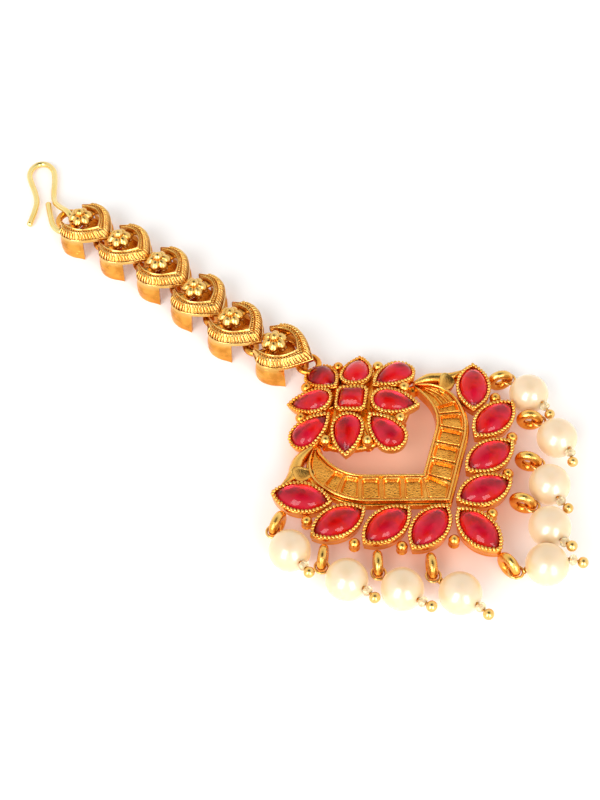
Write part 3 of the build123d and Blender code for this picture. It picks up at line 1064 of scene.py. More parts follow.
def makeStone(name, part, place):
    seat = place @ shift(0, 0, -setting["pocketDepth"] + setting["girdle"] + setting["fitGap"])
    points, faces = tidyPart(part)
    foil = [int(all(points[index][2] < setting["foilLevel"] for index in face)) for face in faces]
    piece = makePiece(name + "_cut", [moved((points, faces), seat)], rubyGlass, [name], 60,
                      (stoneFoil, foil))
    # each point's share of the painted edge shade, by its height
    low, high = setting["rimShadeSpan"]
    girdle = piece.data.attributes.new("girdle", "FLOAT", "POINT")
    girdle.data.foreach_set("value", np.clip((high - points[:, 2]) / (high - low), 0, 1))


milgrainPaths = []
settings = []


def addSetting(outline, wall, place):
    points, faces = moved(tidyPart(settingWall(outline, wall)), place)
    points[:, 2] = np.maximum(points[:, 2], setting["lowest"])
    settings.append((points, faces))
    milgrainPaths.append((moved((beadPath(outline), []), place)[0], True))


for place, length in petalPlaces():
    addSetting(pearOutline(length, setting["pearWidth"]), petalWall, place)
squareWall = (*wallTop, (0.56, -1.0), (setting["squareFoot"], -flower["centreDepth"]))
addSetting(squareOutline(setting["squareSide"]), squareWall, centrePlace())
for place in marquisePlaces():
    addSetting(marquiseOutline(*setting["marquise"]), marquiseWall, place)

for number, (place, length) in enumerate(petalPlaces(), 1):
    makeStone(f"flower_stone_{number}", cabochon("pear", length, setting["pearWidth"]), place)
makeStone("stone_centre", cushionStone(), centrePlace())
for number, place in enumerate(marquisePlaces(), 1):
    makeStone(f"marquise_stone_{number}", cabochon("marquise", *setting["marquise"]), place)
print("stones ready")


crescent = {
    "armSlope": 37,
    "innerCorner": -16.7,
    "outerCorner": -22.7,
    "innerShoulder": (9.5, -6.0),
    "outerShoulder": (13.3, -9.1),
    "hornTip": (9.5, -3.2),
    "innerArm": 8.3,
    "outerArm": 11.6,
    "floor": 2.78,
    "grain": (0.2, 0.056),  # size and height of the floor's grain
    "shoulderCentre": (3.6, -6.4),
    "firstSquare": 1.95,
    "armReach": 16.3,
    # places of the walls between cells, along the arm from the axis
    "walls": (1.7, 4.83, 7.96, 11.09, 13.98, 16.3),
    "cellGap": 0.16,
    "cellLength": 2.9,
    "cellCorner": 0.35,
    "cellEdge": 0.52,
    "ledge": 1.5,
    # section of a cell's frame: distance inwards, height
    "frame": ((-0.17, 2.6), (-0.17, 3.16), (-0.12, 3.2), (0.0, 3.21), (0.03, 3.37), (0.08, 3.43),
              (0.14, 3.42), (0.19, 3.32), (0.25, 3.1), (0.31, 2.92), (0.36, 2.84), (0.4, 2.6)),
    # rim of the crescent: distance inwards, height
    "rim": ((0.0, 3.14), (0.02, 3.32), (0.08, 3.46), (0.18, 3.55), (0.30, 3.56), (0.40, 3.49),
            (0.46, 3.36), (0.49, 3.15), (0.50, 2.78)),
    "rimWidth": 1.9,  # width of the crescent below which the rim gets narrower
    "floorInset": 0.74,
    "foot": (0.36, 0.12, (2.86, 2.82, 2.7)),  # outer step: distance past the rim, bevel, heights
    "hornLine": ((0.51, 0.0), (0.55, 0.16), (0.60, 0.22), (0.66, 0.16), (0.72, 0.04)),
    "hornRise": 0.04,  # how far the horn's floor stands above the cells' floor
    "hornSmooth": 0.25,  # share of the grain that the horn's floor loses
    "hornRidges": (0.34, 0.68),
    "ridgeWidth": 0.085,
    "ridgeHeight": 0.42,
    "armSteps": 190,
    "hornSteps": 60,
    "hornEnd": 0.985,
    "hornBlend": (5, 4),  # steps before the horn where its floor starts, and over how many it changes
    "slantLimit": 0.7,
}
backHeight = setting["rimHeight"] - setting["castDepth"]


def crescentEdges():
    up = heading(crescent["armSlope"])
    outerCorner = np.array((0.0, crescent["outerCorner"]))
    innerCorner = np.array((0.0, crescent["innerCorner"]))
    outerEnd = outerCorner + up * crescent["outerArm"]
    innerEnd = innerCorner + up * crescent["innerArm"]
    outerRound = tangentArc(outerEnd, up, crescent["outerShoulder"], 40)
    leave = outerRound[-1] - outerRound[-2]
    outerHorn = tangentArc(crescent["outerShoulder"], leave, crescent["hornTip"], 40)
    innerRound = tangentArc(innerEnd, up, crescent["innerShoulder"], 40)
    outer = np.concatenate(([outerCorner], outerRound, outerHorn[1:]))
    inner = np.concatenate(([innerCorner], innerRound, [crescent["hornTip"]]))
    return alongPath(inner, 900), alongPath(outer, 900)


def hitOn(path, centre, towards):
    # where a ray from centre meets a path: the point, and its index along the path
    reach = path - centre
    side = reach[:, 0] * towards[1] - reach[:, 1] * towards[0]
    ahead = reach @ towards > 0
    cross = np.where((side[:-1] * side[1:] <= 0) & ahead[:-1])[0]
    index = cross[0]
    share = side[index] / (side[index] - side[index + 1] + 1e-12)
    return path[index] * (1 - share) + path[index + 1] * share, index + share


def armRay(reach, edges):
    # the inner and outer points of the crescent across its arm, and the direction across
    inner, outer = edges
    slope = crescent["armSlope"]
    across, up = heading(slope - 90), heading(slope)
    middle = np.array((0.0, (crescent["innerCorner"] + crescent["outerCorner"]) / 2))
    centre = np.array(crescent["shoulderCentre"])
    straight = (centre - middle) @ up
    first = crescent["firstSquare"]
    if reach < first:
        a, b, ray = armRay(first, edges)
        share = reach / first
        return inner[0] * (1 - share) + a * share, outer[0] * (1 - share) + b * share, ray
    if reach < straight:
        start, ray = middle + up * reach - across * 8, across  # well inside the inner edge
    else:
        radius = (middle - centre) @ across
        start, ray = centre, heading(slope - 90 + math.degrees((reach - straight) / radius))
    return hitOn(inner, start, ray)[0], hitOn(outer, start, ray)[0], ray


def crescentStations():
    edges = crescentEdges()
    inner, outer = edges
    end = crescent["hornEnd"]
    stations = [armRay(step, edges) for step in np.linspace(0, crescent["armReach"], crescent["armSteps"])]
    a, b, ray = stations[-1]
    start = a - ray * 4  # inside the inner edge, as above
    innerIndex = hitOn(inner, start, ray)[1] / (len(inner) - 1)
    outerIndex = hitOn(outer, start, ray)[1] / (len(outer) - 1)
    innerHorn = alongPath(inner, crescent["hornSteps"], innerIndex, end)[1:]
    outerHorn = alongPath(outer, crescent["hornSteps"], outerIndex, end)[1:]
    for a, b in zip(innerHorn, outerHorn):
        stations.append((a, b, (b - a) / np.linalg.norm(b - a)))
    return stations


def slantOf(a, b, square):
    # how much longer a section is than one straight across the arm
    ray = (b - a) / np.linalg.norm(b - a)
    return 1 / max(ray @ square, crescent["slantLimit"])


def crescentSection(a, b, square, horn, ridged):
    ray = b - a
    width = np.linalg.norm(ray)
    ray = ray / width
    slant = slantOf(a, b, square)
    step = min(1.0, width / crescent["rimWidth"]) * slant
    floor = crescent["floor"] + crescent["hornRise"] * horn
    edge = [(reach * step, height) for reach, height in crescent["rim"]]
    edge += [(reach * step, floor + rise * horn) for reach, rise in crescent["hornLine"]]
    rows = [(0.0, backHeight), *edge]
    first, last = crescent["floorInset"] * step, width - crescent["floorInset"] * step
    size, amount = crescent["grain"]
    for share in np.linspace(0, 1, 42)[1:-1]:
        reach = first + (last - first) * share
        spot = a + ray * reach
        rough = noise.fractal(Vector((spot[0] / size, spot[1] / size, 2.0)), 1.0, 2.0, 3)
        grain = rough * amount * (1 - crescent["hornSmooth"] * horn)
        offsets = [(share - at) / crescent["ridgeWidth"] for at in crescent["hornRidges"]]
        ridge = sum(math.exp(-(offset**2)) for offset in offsets)
        lift = ridge * crescent["ridgeHeight"] * horn * ridged
        rows.append((reach, floor + grain + lift))
    rows += [(width - row[0], row[1]) for row in reversed(edge)]
    footReach, bevel, (top, shoulder, side) = crescent["foot"]
    foot = width + footReach * slant
    rows += [(width, top), (foot - bevel, shoulder), (foot, side), (foot, backHeight)]
    return [(*(a + ray * reach), height) for reach, height in rows]


def crescentBody():
    stations = crescentStations()
    lead, blend = crescent["hornBlend"]
    sides = []
    for ridged in (0, 1):  # only the right horn has ridges
        side = []
        for index, (a, b, square) in enumerate(stations):
            horn = min(max((index - crescent["armSteps"] + lead) / blend, 0), 1)
            side.append(crescentSection(a, b, square, horn, ridged))
        sides.append(np.array(side))
    left = sides[0][1:][::-1] * (-1, 1, 1)
    return loft(np.concatenate((left, sides[1])))


def roundedBox(left, right, low, high, radius):
    points = []
    corners = ((right, high, 1, 1), (left, high, -1, 1), (left, low, -1, -1), (right, low, 1, -1))
    for step, (x, y, sideX, sideY) in enumerate(corners):
        centre = (x - sideX * radius, y - sideY * radius)
        points.append(arc(centre, radius, 90 * step, 90 * step + 90, 6))
    outline = np.concatenate((*points, points[0][:1]))
    return alongPath(outline, 97)[:-1]


def cellFrames():
    edges = crescentEdges()
    steps = np.linspace(0, crescent["armReach"], 240)
    rays = [armRay(step, edges) for step in steps]
    inner = np.array([ray[0] for ray in rays])
    outer = np.array([ray[1] for ray in rays])
    slants = np.array([slantOf(*ray) for ray in rays])
    widths = np.linalg.norm(outer - inner, axis=1)
    length = crescent["cellLength"]
    ends = (-crescent["walls"][0], *crescent["walls"])
    frames = []
    for low, high in zip(ends, ends[1:]):
        rings = []
        for inset, height in crescent["frame"]:
            start, end = low + crescent["cellGap"] + inset, high - crescent["cellGap"] - inset
            shape = roundedBox(start, end, 0.0, length, crescent["cellCorner"])
            reach, share = shape[:, 0], shape[:, 1] / length
            away = np.abs(reach)
            slant, width = np.interp(away, steps, slants), np.interp(away, steps, widths)
            near = (crescent["cellEdge"] + inset * crescent["ledge"]) * slant / width
            far = 1 - (crescent["cellEdge"] + inset) * slant / width
            place = near + (far - near) * share
            ring = []
            for at, part, side in zip(away, place, reach):
                a = [np.interp(at, steps, inner[:, axis]) for axis in (0, 1)]
                b = [np.interp(at, steps, outer[:, axis]) for axis in (0, 1)]
                x, y = np.array(a) * (1 - part) + np.array(b) * part
                ring.append((math.copysign(1, side) * x, y, height))
            rings.append(ring)
        frame = tidyPart(loft(rings, closed=True))
        frames.append(frame)
        if low > 0:
            frames.append(tidyPart(mirrored(frame)))
    return frames


def strap(path, halfWidths, section):
    # a band along a path, as wide as the list of half widths spread over it
    flat = np.asarray(path)
    left = leftOf(flat)
    shares = np.linspace(0, 1, len(flat))
    half = np.interp(shares, np.linspace(0, 1, len(halfWidths)), halfWidths)
    rings = []
    for point, side, reach in zip(flat, left, half):
        rings.append([(*(point + side * reach * share), height) for share, height in section])
    return loft(rings)


def wavy(part, depth, waves):
    points, faces = part
    turns = np.arctan2(points[:, 1], points[:, 0])
    stretch = 1 + depth * np.cos(waves * turns)
    return points * np.column_stack((stretch, stretch, np.ones(len(points)))), faces


scroll = {
    # middle of the strap and half its width, from the flower to the first marquise
    "path": ((10.0, -2.9), (11.5, -3.0), (12.7, -3.3), (13.8, -4.05), (14.9, -4.85), (16.2, -5.4),
             (18.0, -5.75)),
    "halfWidth": (0.42, 0.7, 0.92, 0.98, 0.84, 0.6, 0.2),
    # share of the half width, height
    "section": ((-1.0, 1.7), (-1.0, 2.7), (-0.93, 3.0), (-0.75, 3.27), (-0.45, 3.5), (-0.1, 3.6),
                (0.25, 3.58), (0.6, 3.42), (0.85, 3.15), (1.0, 2.8), (1.0, 1.7)),
    "curl": (13.95, -5.85),
    "curlSection": ((0.02, 3.3), (0.7, 3.31), (1.05, 3.36), (1.2, 3.44), (1.32, 3.44), (1.42, 3.32),
                    (1.46, 3.1), (1.46, 2.1), (0.02, 2.1)),
    "curlWave": (0.12, 3),  # how far the curl's edge goes in and out, and how many times
    "curlTilt": 15,
    "curlPivot": 3.3,  # height about which the curl is tilted
    "curlTurn": -40,
    "curlStretch": (1.25, 0.85, 35),  # along and across the direction given in degrees
}
edgeGranules = ((18.2, -12.5), (15.1, -19.6), (10.1, -24.1), (3.6, -27.8))
edgeGranuleHeight = 2.7
# Middle of each drop ring down one side, and the direction in which it points
dropRings = (
    (21.6, -10.0, -26.0),
    (19.9, -18.5, -44.0),
    (14.4, -24.0, -54.5),
    (8.7, -28.9, -58.0),
    (0.0, -35.3, -90.0),
)
ringRadius, ringWire = 1.36, 0.7
ringHeight = 2.1
barReach = 1.5  # from a ring's centre to where its drop is measured from
pendantRing = {"centre": (0, 11.2, 2.0), "radius": 1.65, "wire": 0.5}


def post(x, y, low, high, radius=0.62):
    # a flared foot, a straight shank and a rounded top
    flare = ((radius + 0.2, low), (radius + 0.1, low + 0.3), (radius, low + 0.6), (radius, high - 0.3),
             (radius * 0.92, high - 0.12), (radius * 0.6, high), (0.01, high + 0.06))
    return moved(turned(flare, 36), shift(x, y))


def flowerRib():
    foot = -1.6
    # share of the half width, height below the ridge
    section = ((-1, -0.25), (-0.5, -0.06), (0, 0), (0.5, -0.06), (1, -0.25))
    rings = []
    for reach, height, half in flower["rib"]:
        ridge = [(reach, half * share, height + drop) for share, drop in section]
        rings.append([(reach, -half, foot), *ridge, (reach, half, foot)])
    return loft(rings)


def makeScrolls():
    path = smoothPath(scroll["path"], 50)
    band = tidyPart(strap(path, scroll["halfWidth"], scroll["section"]))
    curl = wavy(tidyPart(turned(scroll["curlSection"], 64)), *scroll["curlWave"])
    pivot = scroll["curlPivot"]
    lean = shift(0, 0, pivot) @ turnAbout(scroll["curlTilt"], "X") @ shift(0, 0, -pivot)
    wide, narrow, along = scroll["curlStretch"]
    stretch = turnAbout(along, "Z") @ Matrix.Diagonal((wide, narrow, 1, 1)) @ turnAbout(-along, "Z")
    curl = moved(curl, shift(*scroll["curl"]) @ lean @ stretch @ turnAbout(scroll["curlTurn"], "Z"))
    return [band, tidyPart(mirrored(band)), curl, tidyPart(mirrored(curl))]


def makeSettings():
    # the metal round the stones, and the places of the granules on it
    radius, lift = flower["granuleRadius"], flower["granuleLift"]
    parts = [moved(tidyPart(turned(flower["plate"], 96)), flowerPlace()), *settings]
    granulePlaces = []
    step = 360 / flower["petals"]
    for turn in np.arange(flower["petals"]) * step + step / 2:
        parts.append(moved(tidyPart(flowerRib()), flowerPlace() @ turnAbout(turn, "Z")))
        x, y = heading(turn) * flower["granuleReach"]
        parts.append(moved(tidyPart(post(x, y, -setting["castDepth"], lift)), flowerPlace()))
        granulePlaces.append((flowerPlace() @ Vector((x, y, lift)), (0, 0, 0), (radius,) * 3))
    hornRadius, hornHeight = flower["hornPost"]
    for side in (1, -1):
        for x, y in edgeGranules:
            parts.append(tidyPart(post(side * x, y, backHeight, edgeGranuleHeight)))
            granulePlaces.append(((side * x, y, edgeGranuleHeight), (0, 0, 0), (radius,) * 3))
        x, y = flower["hornRoot"]
        parts.append(tidyPart(post(side * x, y, backHeight, backHeight + hornHeight, hornRadius)))
    return parts, granulePlaces


def makeRings():
    places = []
    for x, y, turn in dropRings:
        for side in (1, -1) if x else (1,):
            facing = turn if side > 0 else 180 - turn
            turns = (math.radians(90), 0, math.radians(facing))
            places.append(((side * x, y, ringHeight), turns, (ringRadius,) * 3))
    rings = repeated(ringTree, places, {"Wire": ringWire / ringRadius, "Material": antiqueGold})
    radius = pendantRing["radius"]
    loop = repeated(ringTree, [(pendantRing["centre"], (0, 0, 0), (radius,) * 3)],
                    {"Wire": pendantRing["wire"] / radius, "Material": antiqueGold})
    return [rings, loop]


def makePendant():
    def piece(name, parts, sharpAngle):
        makePiece(name, parts, antiqueGold, ["pendant_frame"], sharpAngle)

    piece("crescent_casting", [tidyPart(crescentBody()), *cellFrames(), *makeScrolls()], 45)
    parts, granulePlaces = makeSettings()
    piece("stone_settings", parts, 40)
    beads = beadRows(milgrainPaths, {
        "Spacing": setting["beadSpacing"],
        "Bead radius": setting["beadRadius"],
        "Shape": setting["beadShape"],
        "Lean": setting["beadLean"],
        "Material": antiqueGold,
    })
    piece("milgrain_rows", [beads], 180)
    granules = repeated(ballTree, granulePlaces,
                        {"Detail": 4, "Size variation": 0.04, "Material": antiqueGold})
    piece("edge_granules", [granules], 180)
    piece("drop_rings", makeRings(), 180)


makePendant()
print("pendant ready")


drop = {
    "pearlRadius": 3.0,
    "wire": 0.2,
    "loopRadius": 0.98,
    "loopOffset": 0.06,
    "seedRadius": 0.77,
    "seedShape": 0.8,  # length of a seed bead against its width
    "beadGap": 0.02,
    "ballRadius": 0.8,
    "bore": 0.3,
    "head": (0.94, 0.004),  # squash of the ball head, and the radius left at its poles
    # wrapped wire below the loop: turns, start, length, radius against the wire's, thickness against it
    "wrap": (2.2, 0.05, 0.85, 1.75, 0.8),
    # side, ring, bearing and length from the ring to the pearl, bearing and rise of the wire beyond it
    "rows": (
        (-1, 0, -92, 4.4, -93, 8),
        (-1, 1, -72, 4.3, -84, 0),
        (-1, 2, -80, 4.3, -72, 6),
        (-1, 3, -80, 4.7, -86, 0),
        (1, 4, -27, 4.3, -50, -8),
        (1, 3, -104, 4.5, -90, 25),
        (1, 2, -114, 4.45, -88, -10),
        (1, 1, -100, 4.4, -118, -20),
        (1, 0, -93, 4.5, -97, -20),
    ),
}


def boredBall(radius, bore, count=48, squash=1.0):
    lip = math.asin(bore / radius) * 1.35  # the round starts a little outside the bore
    turns = np.linspace(lip, math.pi - lip, count)
    outside = [(radius * math.sin(turn), radius * math.cos(turn) * squash) for turn in turns]
    top = (outside[0][1] - 0.02) * 0.985  # the bore's edge lies a little lower than the round's
    return turned([*outside, (bore, -top), (bore, top)], 64, closed=True)


def aimed(at, along):
    turn = Vector(along).to_track_quat("Z", "Y").to_matrix().to_4x4()
    return Matrix.Translation(at) @ turn


def wrappedWire(start, along):
    turns, gap, length, reach, thickness = drop["wrap"]
    wire = drop["wire"]
    sideways = along.orthogonal().normalized()
    over = along.cross(sideways)
    points = []
    for share in np.linspace(0, 1, 60):
        spin = share * 2 * math.pi * turns
        across = (sideways * math.cos(spin) + over * math.sin(spin)) * wire * reach
        points.append(start + along * (gap + share * length) + across)
    return tidyPart(tube(points, wire * thickness, 10))


def makeDrop(number, side, ring, bearing, reach, tailBearing, tailRise):
    x, y, angle = dropRings[ring]
    pearlRadius, ballRadius, wire = drop["pearlRadius"], drop["ballRadius"], drop["wire"]
    out = heading(angle if side > 0 else 180 - angle)
    centre = np.array((side * x, y))
    toPearl = heading(bearing)
    pearlAt = Vector((*(centre + out * barReach + toPearl * reach), pearlRadius))
    loopAt = Vector((*(centre + out * ringRadius + toPearl * drop["loopOffset"]), ringHeight))
    loopEnd = loopAt + Vector((*toPearl, 0)) * drop["loopRadius"]
    along = (pearlAt - loopEnd).normalized()
    mouth = pearlAt + along * (pearlRadius + setting["fitGap"])
    rise = math.radians(tailRise)
    tail = Vector((*(heading(tailBearing) * math.cos(rise)), math.sin(rise)))
    halfSeed = drop["seedRadius"] * drop["seedShape"]
    seedAt = mouth + tail * (halfSeed + drop["beadGap"])
    ballAt = mouth + tail * (2 * halfSeed + ballRadius + drop["beadGap"])

    ball = tidyPart(boredBall(pearlRadius, drop["bore"]))
    makePiece(f"pearl_{number}_round", [moved(ball, aimed(pearlAt, along))], creamPearl,
              [f"pearl_{number}"], 40)
    seed = tidyPart(boredBall(drop["seedRadius"], drop["bore"], 20, drop["seedShape"]))
    makePiece(f"seed_bead_{number}_round", [moved(seed, aimed(seedAt, tail))], clearGlass,
              [f"seed_bead_{number}"], 40)

    loop = repeated(ringTree, [(loopAt, (0, 0, 0), (drop["loopRadius"],) * 3)],
                    {"Wire": wire / drop["loopRadius"], "Material": pinGold})
    shank = tidyPart(tube((loopEnd, loopEnd.lerp(mouth, 0.5), mouth, mouth + tail * 0.3, ballAt), wire, 14))
    squash, pole = drop["head"]
    head = tidyPart(moved(ballEnd(ballRadius, 24, 32, pole, squash), aimed(ballAt, tail)))
    makePiece(f"drop_pin_{number}_wire", [loop, shank, wrappedWire(loopEnd, along), head], pinGold,
              [f"drop_pin_{number}"], 60)


for number, row in enumerate(drop["rows"], 1):
    makeDrop(number, *row)
print("drops ready")


link = {
    "headings": (15.6, 17.5, 11.4, 3.8, 10.5, 26.0),
    "pendantJoint": (-0.2, 11.48),
    "prongReach": 5.6,
    "ringReach": 3.46,
    # edges of the band on the right-hand side, from the tip to the horn
    "outer": ((0, -6.95), (1.1, -6.02), (2.1, -5.17), (3.1, -4.2), (3.95, -3.15), (4.55, -2.1),
              (4.82, -1.0), (4.8, 0.0), (4.42, 0.95), (3.8, 1.62), (3.2, 2.25)),
    "inner": ((0, -3.95), (0.9, -3.42), (1.75, -2.78), (2.4, -1.97), (2.78, -1.0), (2.86, 0.0),
              (2.78, 0.8), (2.62, 1.5), (2.5, 2.1)),
    # share of the band's width from the outer edge, height
    "section": ((0.00, 3.35), (0.00, 3.70), (0.015, 3.82), (0.04, 3.89), (0.07, 3.87), (0.10, 3.72),
                (0.14, 3.72), (0.24, 4.06), (0.36, 4.42), (0.46, 4.72), (0.52, 4.84), (0.57, 4.84),
                (0.61, 4.72), (0.64, 4.58), (0.68, 4.54), (0.80, 4.56), (0.83, 4.66), (0.86, 4.86),
                (0.90, 4.95), (0.94, 4.94), (0.98, 4.84), (1.00, 4.68), (1.00, 3.35)),
    "base": 3.35,
    "hornHeight": (0.72, 0.62),  # share of the band's height left at the horn, and where it starts to fall
    # rounded end of the horn: how far on, share of its size
    "hornTip": ((0.12, 0.9), (0.2, 0.7), (0.25, 0.42)),
    "hornHeading": 100,
    "flutes": 17,
    "fluteSpan": (0.035, 0.84),
    "fluteSize": (0.8, 0.185, 0.36),
    "fluteStretch": (2.1, 1.1),  # width of the band at which a flute has this size, and the most it grows
    "fluteShare": 0.33,
    "fluteHeight": 4.3,
    "fluteRise": 1.25,
    "stripShare": 0.74,
    "stripHeight": 4.56,
    "stripEnd": 0.86,
    "notches": {
        "Spacing": 0.44,
        "Bead radius": 0.25,
        "Shape": (0.55, 1.4, 0.95),
        "Lean": 0.6,
        "Size variation": 0.15,
    },
    "floorEnd": 0.35,
    "floorHeight": (1.9, 2.15),
    "bridge": (2.8, 0.7, 3.35, 4.0),  # half sizes, bottom and top
    "neck": (0.9, 0.5, 2.2, 4.1),
    "neckPlace": (0, 1.2),
    "ringCentre": (0, 3.2, 2.2),
    "ringRadius": 1.9,
    "ringWire": 0.6,
    # the prong under the tip goes down, along and up again: lowest and highest, bend radius, far end
    "prong": (0.8, 4.0, 0.65, (-2.6, 2.3)),
    "prongWire": 0.45,
    "petals": 6,
    "petalPhase": 20,
    "petalRing": 1.28,
    "petalSize": (1.16, 0.82, 0.8),
    "petalHeight": 4.66,
    "petalDip": 56,
    "budRadius": 0.77,
    "budHeight": 5.72,
    # balls under the bud: height from the petals, size
    "rosetteCore": ((0.3, (0.8, 0.8, 0.7)), (-0.3, (1.25, 1.25, 0.8))),
    # distance inwards from the outer edge, height
    "skirt": ((0.30, 3.6), (0.25, 3.38), (0.08, 2.95), (-0.06, 2.2), (-0.12, 1.5), (-0.14, 0.8),
              (-0.1, 0.25), (0.0, 0.0), (0.8, 0.0), (0.85, 0.22), (0.62, 0.42), (0.54, 0.9), (0.50, 1.6),
              (0.56, 2.6), (0.9, 3.6)),
    "skirtSpan": (-3.6, 1.3),
    "skirtSteps": (50, 56),  # along the side and round its section
    "skirtBack": (42, 7, 0.7),  # where its foot leaves the surface, over how many steps, how far up
    "skirtGrain": (1.9, 0.45, 0.12),  # length and height of the marks on the cast side, and their depth
    "grainStep": 0.12,
    "grainFade": 8,  # steps from either end over which the marks fade in
    # outward at the foot: along the whole side, more at the front end, over this share, up to this height
    "skirtFlare": (0.4, 0.25, 0.25, 2.6),
}


def linkStations():
    outer = smoothPath(link["outer"], 90)
    inner = smoothPath(link["inner"], 90)
    return list(zip(outer, inner))


def bandHeight(height, share):
    # a height on the band, which gets lower towards the horn
    left, start = link["hornHeight"]
    fade = 1 - (1 - left) * max(share - start, 0) / (1 - start)
    return link["base"] + (height - link["base"]) * fade, fade


def linkBand():
    stations = linkStations()
    right = []
    for index, (a, b) in enumerate(stations):
        along = index / (len(stations) - 1)
        row = [(*(a + (b - a) * share), bandHeight(height, along)[0]) for share, height in link["section"]]
        right.append(row)
    right = np.array(right)
    tail = []
    ahead = np.append(heading(link["hornHeading"]), 0)
    middle = right[-1].mean(0)
    for forward, shrink in link["hornTip"]:
        tail.append(middle + (right[-1] - middle) * shrink + ahead * forward)
    right = np.concatenate((right, tail))
    left = right[1:][::-1] * (-1, 1, 1)
    return loft(np.concatenate((left, right)))


def linkSkirt(flared):
    outer = smoothPath(link["outer"], 500)
    low, high = link["skirtSpan"]
    steps, around = link["skirtSteps"]
    run = alongPath(outer[(outer[:, 1] > low) & (outer[:, 1] < high)], steps)
    section = smoothPath(link["skirt"], around)
    backStart, backSteps, backRise = link["skirtBack"]
    length, rise, depth = link["skirtGrain"]
    whole, end, part, flareTop = link["skirtFlare"]
    rings = []
    for index, (point, side) in enumerate(zip(run, leftOf(run))):
        back = min(max((index - backStart) / backSteps, 0), 1)
        lift = backRise * (1 - math.sqrt(max(1 - back**2, 0)))
        front = 1 - index / (steps - 1)
        sweep = whole * front + end * max((front - 1 + part) / part, 0) ** 2
        fade = min((steps - 1 - index) / link["grainFade"], index / link["grainFade"], 1)
        ring = []
        for reach, height in section:
            if reach < 0.3:  # the outer face
                spot = Vector((index * link["grainStep"] / length, height / rise, 4.0))
                reach += depth * min(height, 1) * fade * noise.fractal(spot, 1.0, 2.0, 2)
            reach -= sweep * max(1 - height / flareTop, 0) * flared
            ring.append((*(point + side * reach), max(height, lift, 0.0) if height < 2 else height))
        rings.append(ring)
    return loft(rings)


def flutePlaces():
    stations = linkStations()
    fullWidth, longest = link["fluteStretch"]
    places = []
    for share in np.linspace(*link["fluteSpan"], link["flutes"]):
        a, b = stations[round(share * (len(stations) - 1))]
        ray = b - a
        width = np.linalg.norm(ray)
        inward = ray / width
        spot = a + ray * link["fluteShare"]
        height, fade = bandHeight(link["fluteHeight"], share)
        size = np.array(link["fluteSize"]) * (min(width / fullWidth, longest), 1, 1)
        for side in (1, -1):
            aim = Vector((side * inward[0], inward[1], link["fluteRise"] * fade)).normalized()
            turn = aim.to_track_quat("X", "Z").to_euler()
            places.append(((side * spot[0], spot[1], height), tuple(turn), tuple(size)))
    return places


def rosettePlaces():
    height, bud = link["petalHeight"], link["budRadius"]
    places = [((0, 0, link["budHeight"]), (0, 0, 0), (bud,) * 3)]
    for lift, size in link["rosetteCore"]:
        places.append(((0, 0, height + lift), (0, 0, 0), size))
    for step in range(link["petals"]):
        turn = link["petalPhase"] + 360 / link["petals"] * step
        x, y = heading(turn) * link["petalRing"]
        turns = (0, math.radians(link["petalDip"]), math.radians(turn))
        places.append(((x, y, height), turns, link["petalSize"]))
    return places


def stripPath():
    stations = linkStations()
    rows = []
    for index, (a, b) in enumerate(stations[:round(link["stripEnd"] * len(stations))]):
        height = bandHeight(link["stripHeight"], index / (len(stations) - 1))[0]
        rows.append((*(a + (b - a) * link["stripShare"]), height))
    right = np.array(rows)
    return np.concatenate((right[1:][::-1] * (-1, 1, 1), right))


def linkFloor():
    inner = smoothPath(link["inner"], 200)
    side = (inner[inner[:, 1] < link["floorEnd"]] + (0.1, 0))[::6]  # reaches a little into the band
    outline = np.concatenate((side[::-1][:-1] * (-1, 1), side))
    return prism(outline, *link["floorHeight"])


def bevelBox(halfX, halfY, low, high, soft=0.15):
    rings = []
    for inset, height in ((soft, low), (0, low + soft), (0, high - soft), (soft, high)):
        x, y = halfX - inset, halfY - inset
        rings.append([(x, y, height), (-x, y, height), (-x, -y, height), (x, -y, height)])
    return loft(rings)


def linkProng():
    low, high, radius, (farY, farZ) = link["prong"]
    near, height = -link["prongReach"], low + radius
    down = arc((near + radius, height), radius, 180, 270, 8)
    up = arc((farY - radius, height), radius, 270, 360, 8)
    path = ((near, high), (near, height), *down, *up, (farY, farZ))
    return tidyPart(tube([(0, y, z) for y, z in path], link["prongWire"], 16, side=Vector((1, 0, 0))))


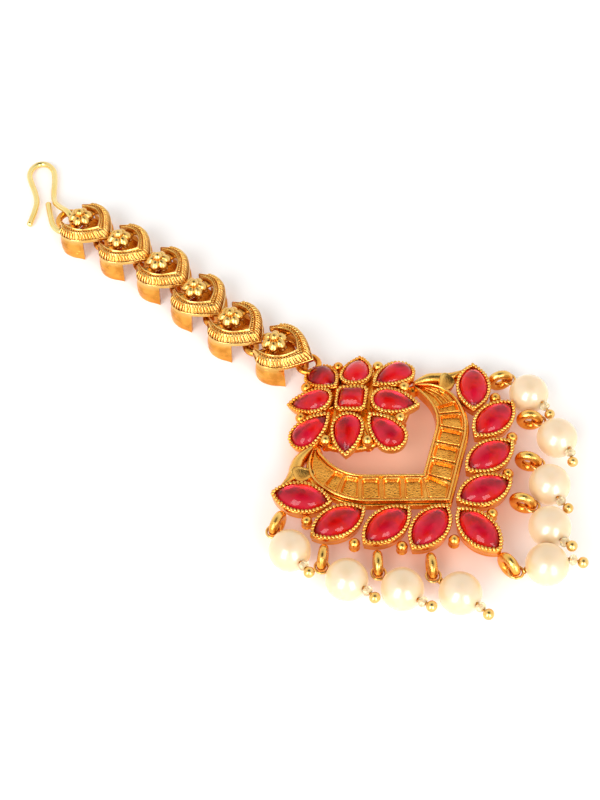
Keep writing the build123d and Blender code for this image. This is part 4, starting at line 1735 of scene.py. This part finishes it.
def makeLinkParts():
    flared, plain = tidyPart(linkSkirt(1)), tidyPart(linkSkirt(0))
    flutes = repeated(ballTree, flutePlaces(), {"Detail": 3, "Size variation": 0.06, "Material": linkGold})
    petals = repeated(ballTree, rosettePlaces(), {"Detail": 4, "Size variation": 0.03, "Material": linkGold})
    notches = beadRows([(stripPath(), False)], {**link["notches"], "Material": linkGold})
    bridge = tidyPart(bevelBox(*link["bridge"]))
    neck = moved(tidyPart(bevelBox(*link["neck"])), shift(*link["neckPlace"]))
    radius = link["ringRadius"]
    ring = repeated(ringTree, [(link["ringCentre"], (0, 0, 0), (radius,) * 3)],
                    {"Wire": link["ringWire"] / radius, "Material": linkGold})
    return [tidyPart(linkBand()), plain, tidyPart(mirrored(flared)), tidyPart(linkFloor()), flutes, petals,
            notches, bridge, ring, neck, linkProng()]


def linkPlaces():
    joint = np.array(link["pendantJoint"])
    places = []
    for angle in reversed(link["headings"]):
        back = heading(90 + angle)
        centre = joint + back * link["prongReach"]
        places.append(shift(*centre) @ turnAbout(angle, "Z"))
        joint = centre + back * link["ringReach"]
    return places[::-1]


linkParts = makeLinkParts()
for number, place in enumerate(linkPlaces(), 1):
    makePiece(f"link_{number}_casting", [moved(part, place) for part in linkParts], linkGold,
              [f"link_{number}"], 42)
print("links ready")


hook = {
    "radius": 0.52,
    # from the end beside the first link, through its ring, round the bend to the free end
    "path": ((-13.7, 71.2, 0.56), (-14.85, 68.4, 0.56), (-15.75, 65.7, 0.56), (-15.45, 63.9, 0.56),
             (-14.4, 63.1, 0.65), (-13.5, 62.9, 1.3), (-13.22, 62.85, 2.3), (-13.1, 63.3, 3.15),
             (-13.02, 64.7, 3.25), (-13.04, 66.4, 2.7), (-12.98, 68.3, 1.95), (-12.72, 70.1, 1.25),
             (-12.15, 71.8, 0.75), (-11.3, 73.4, 0.56), (-10.2, 75.1, 0.56), (-9.25, 76.7, 0.56),
             (-8.5, 78.3, 0.56), (-8.3, 79.9, 0.56), (-8.75, 81.2, 0.56), (-9.85, 81.85, 0.56),
             (-11.35, 81.45, 0.56), (-12.6, 80.1, 0.56), (-13.4, 77.8, 0.56), (-14.1, 75.3, 0.56),
             (-15.1, 73.0, 0.56), (-16.75, 70.95, 0.56), (-18.78, 68.9, 0.56)),
}


def makeHook():
    path = smoothPath(hook["path"], 260)
    parts = [tidyPart(tube(path, hook["radius"], 20))]
    for end in (path[0], path[-1]):
        parts.append(moved(tidyPart(ballEnd(hook["radius"], 16, 24, 0.002)), shift(*end)))
    makePiece("hook_wire", parts, brightGold, ["hair_hook"], 60)


makeHook()
print("hook ready")
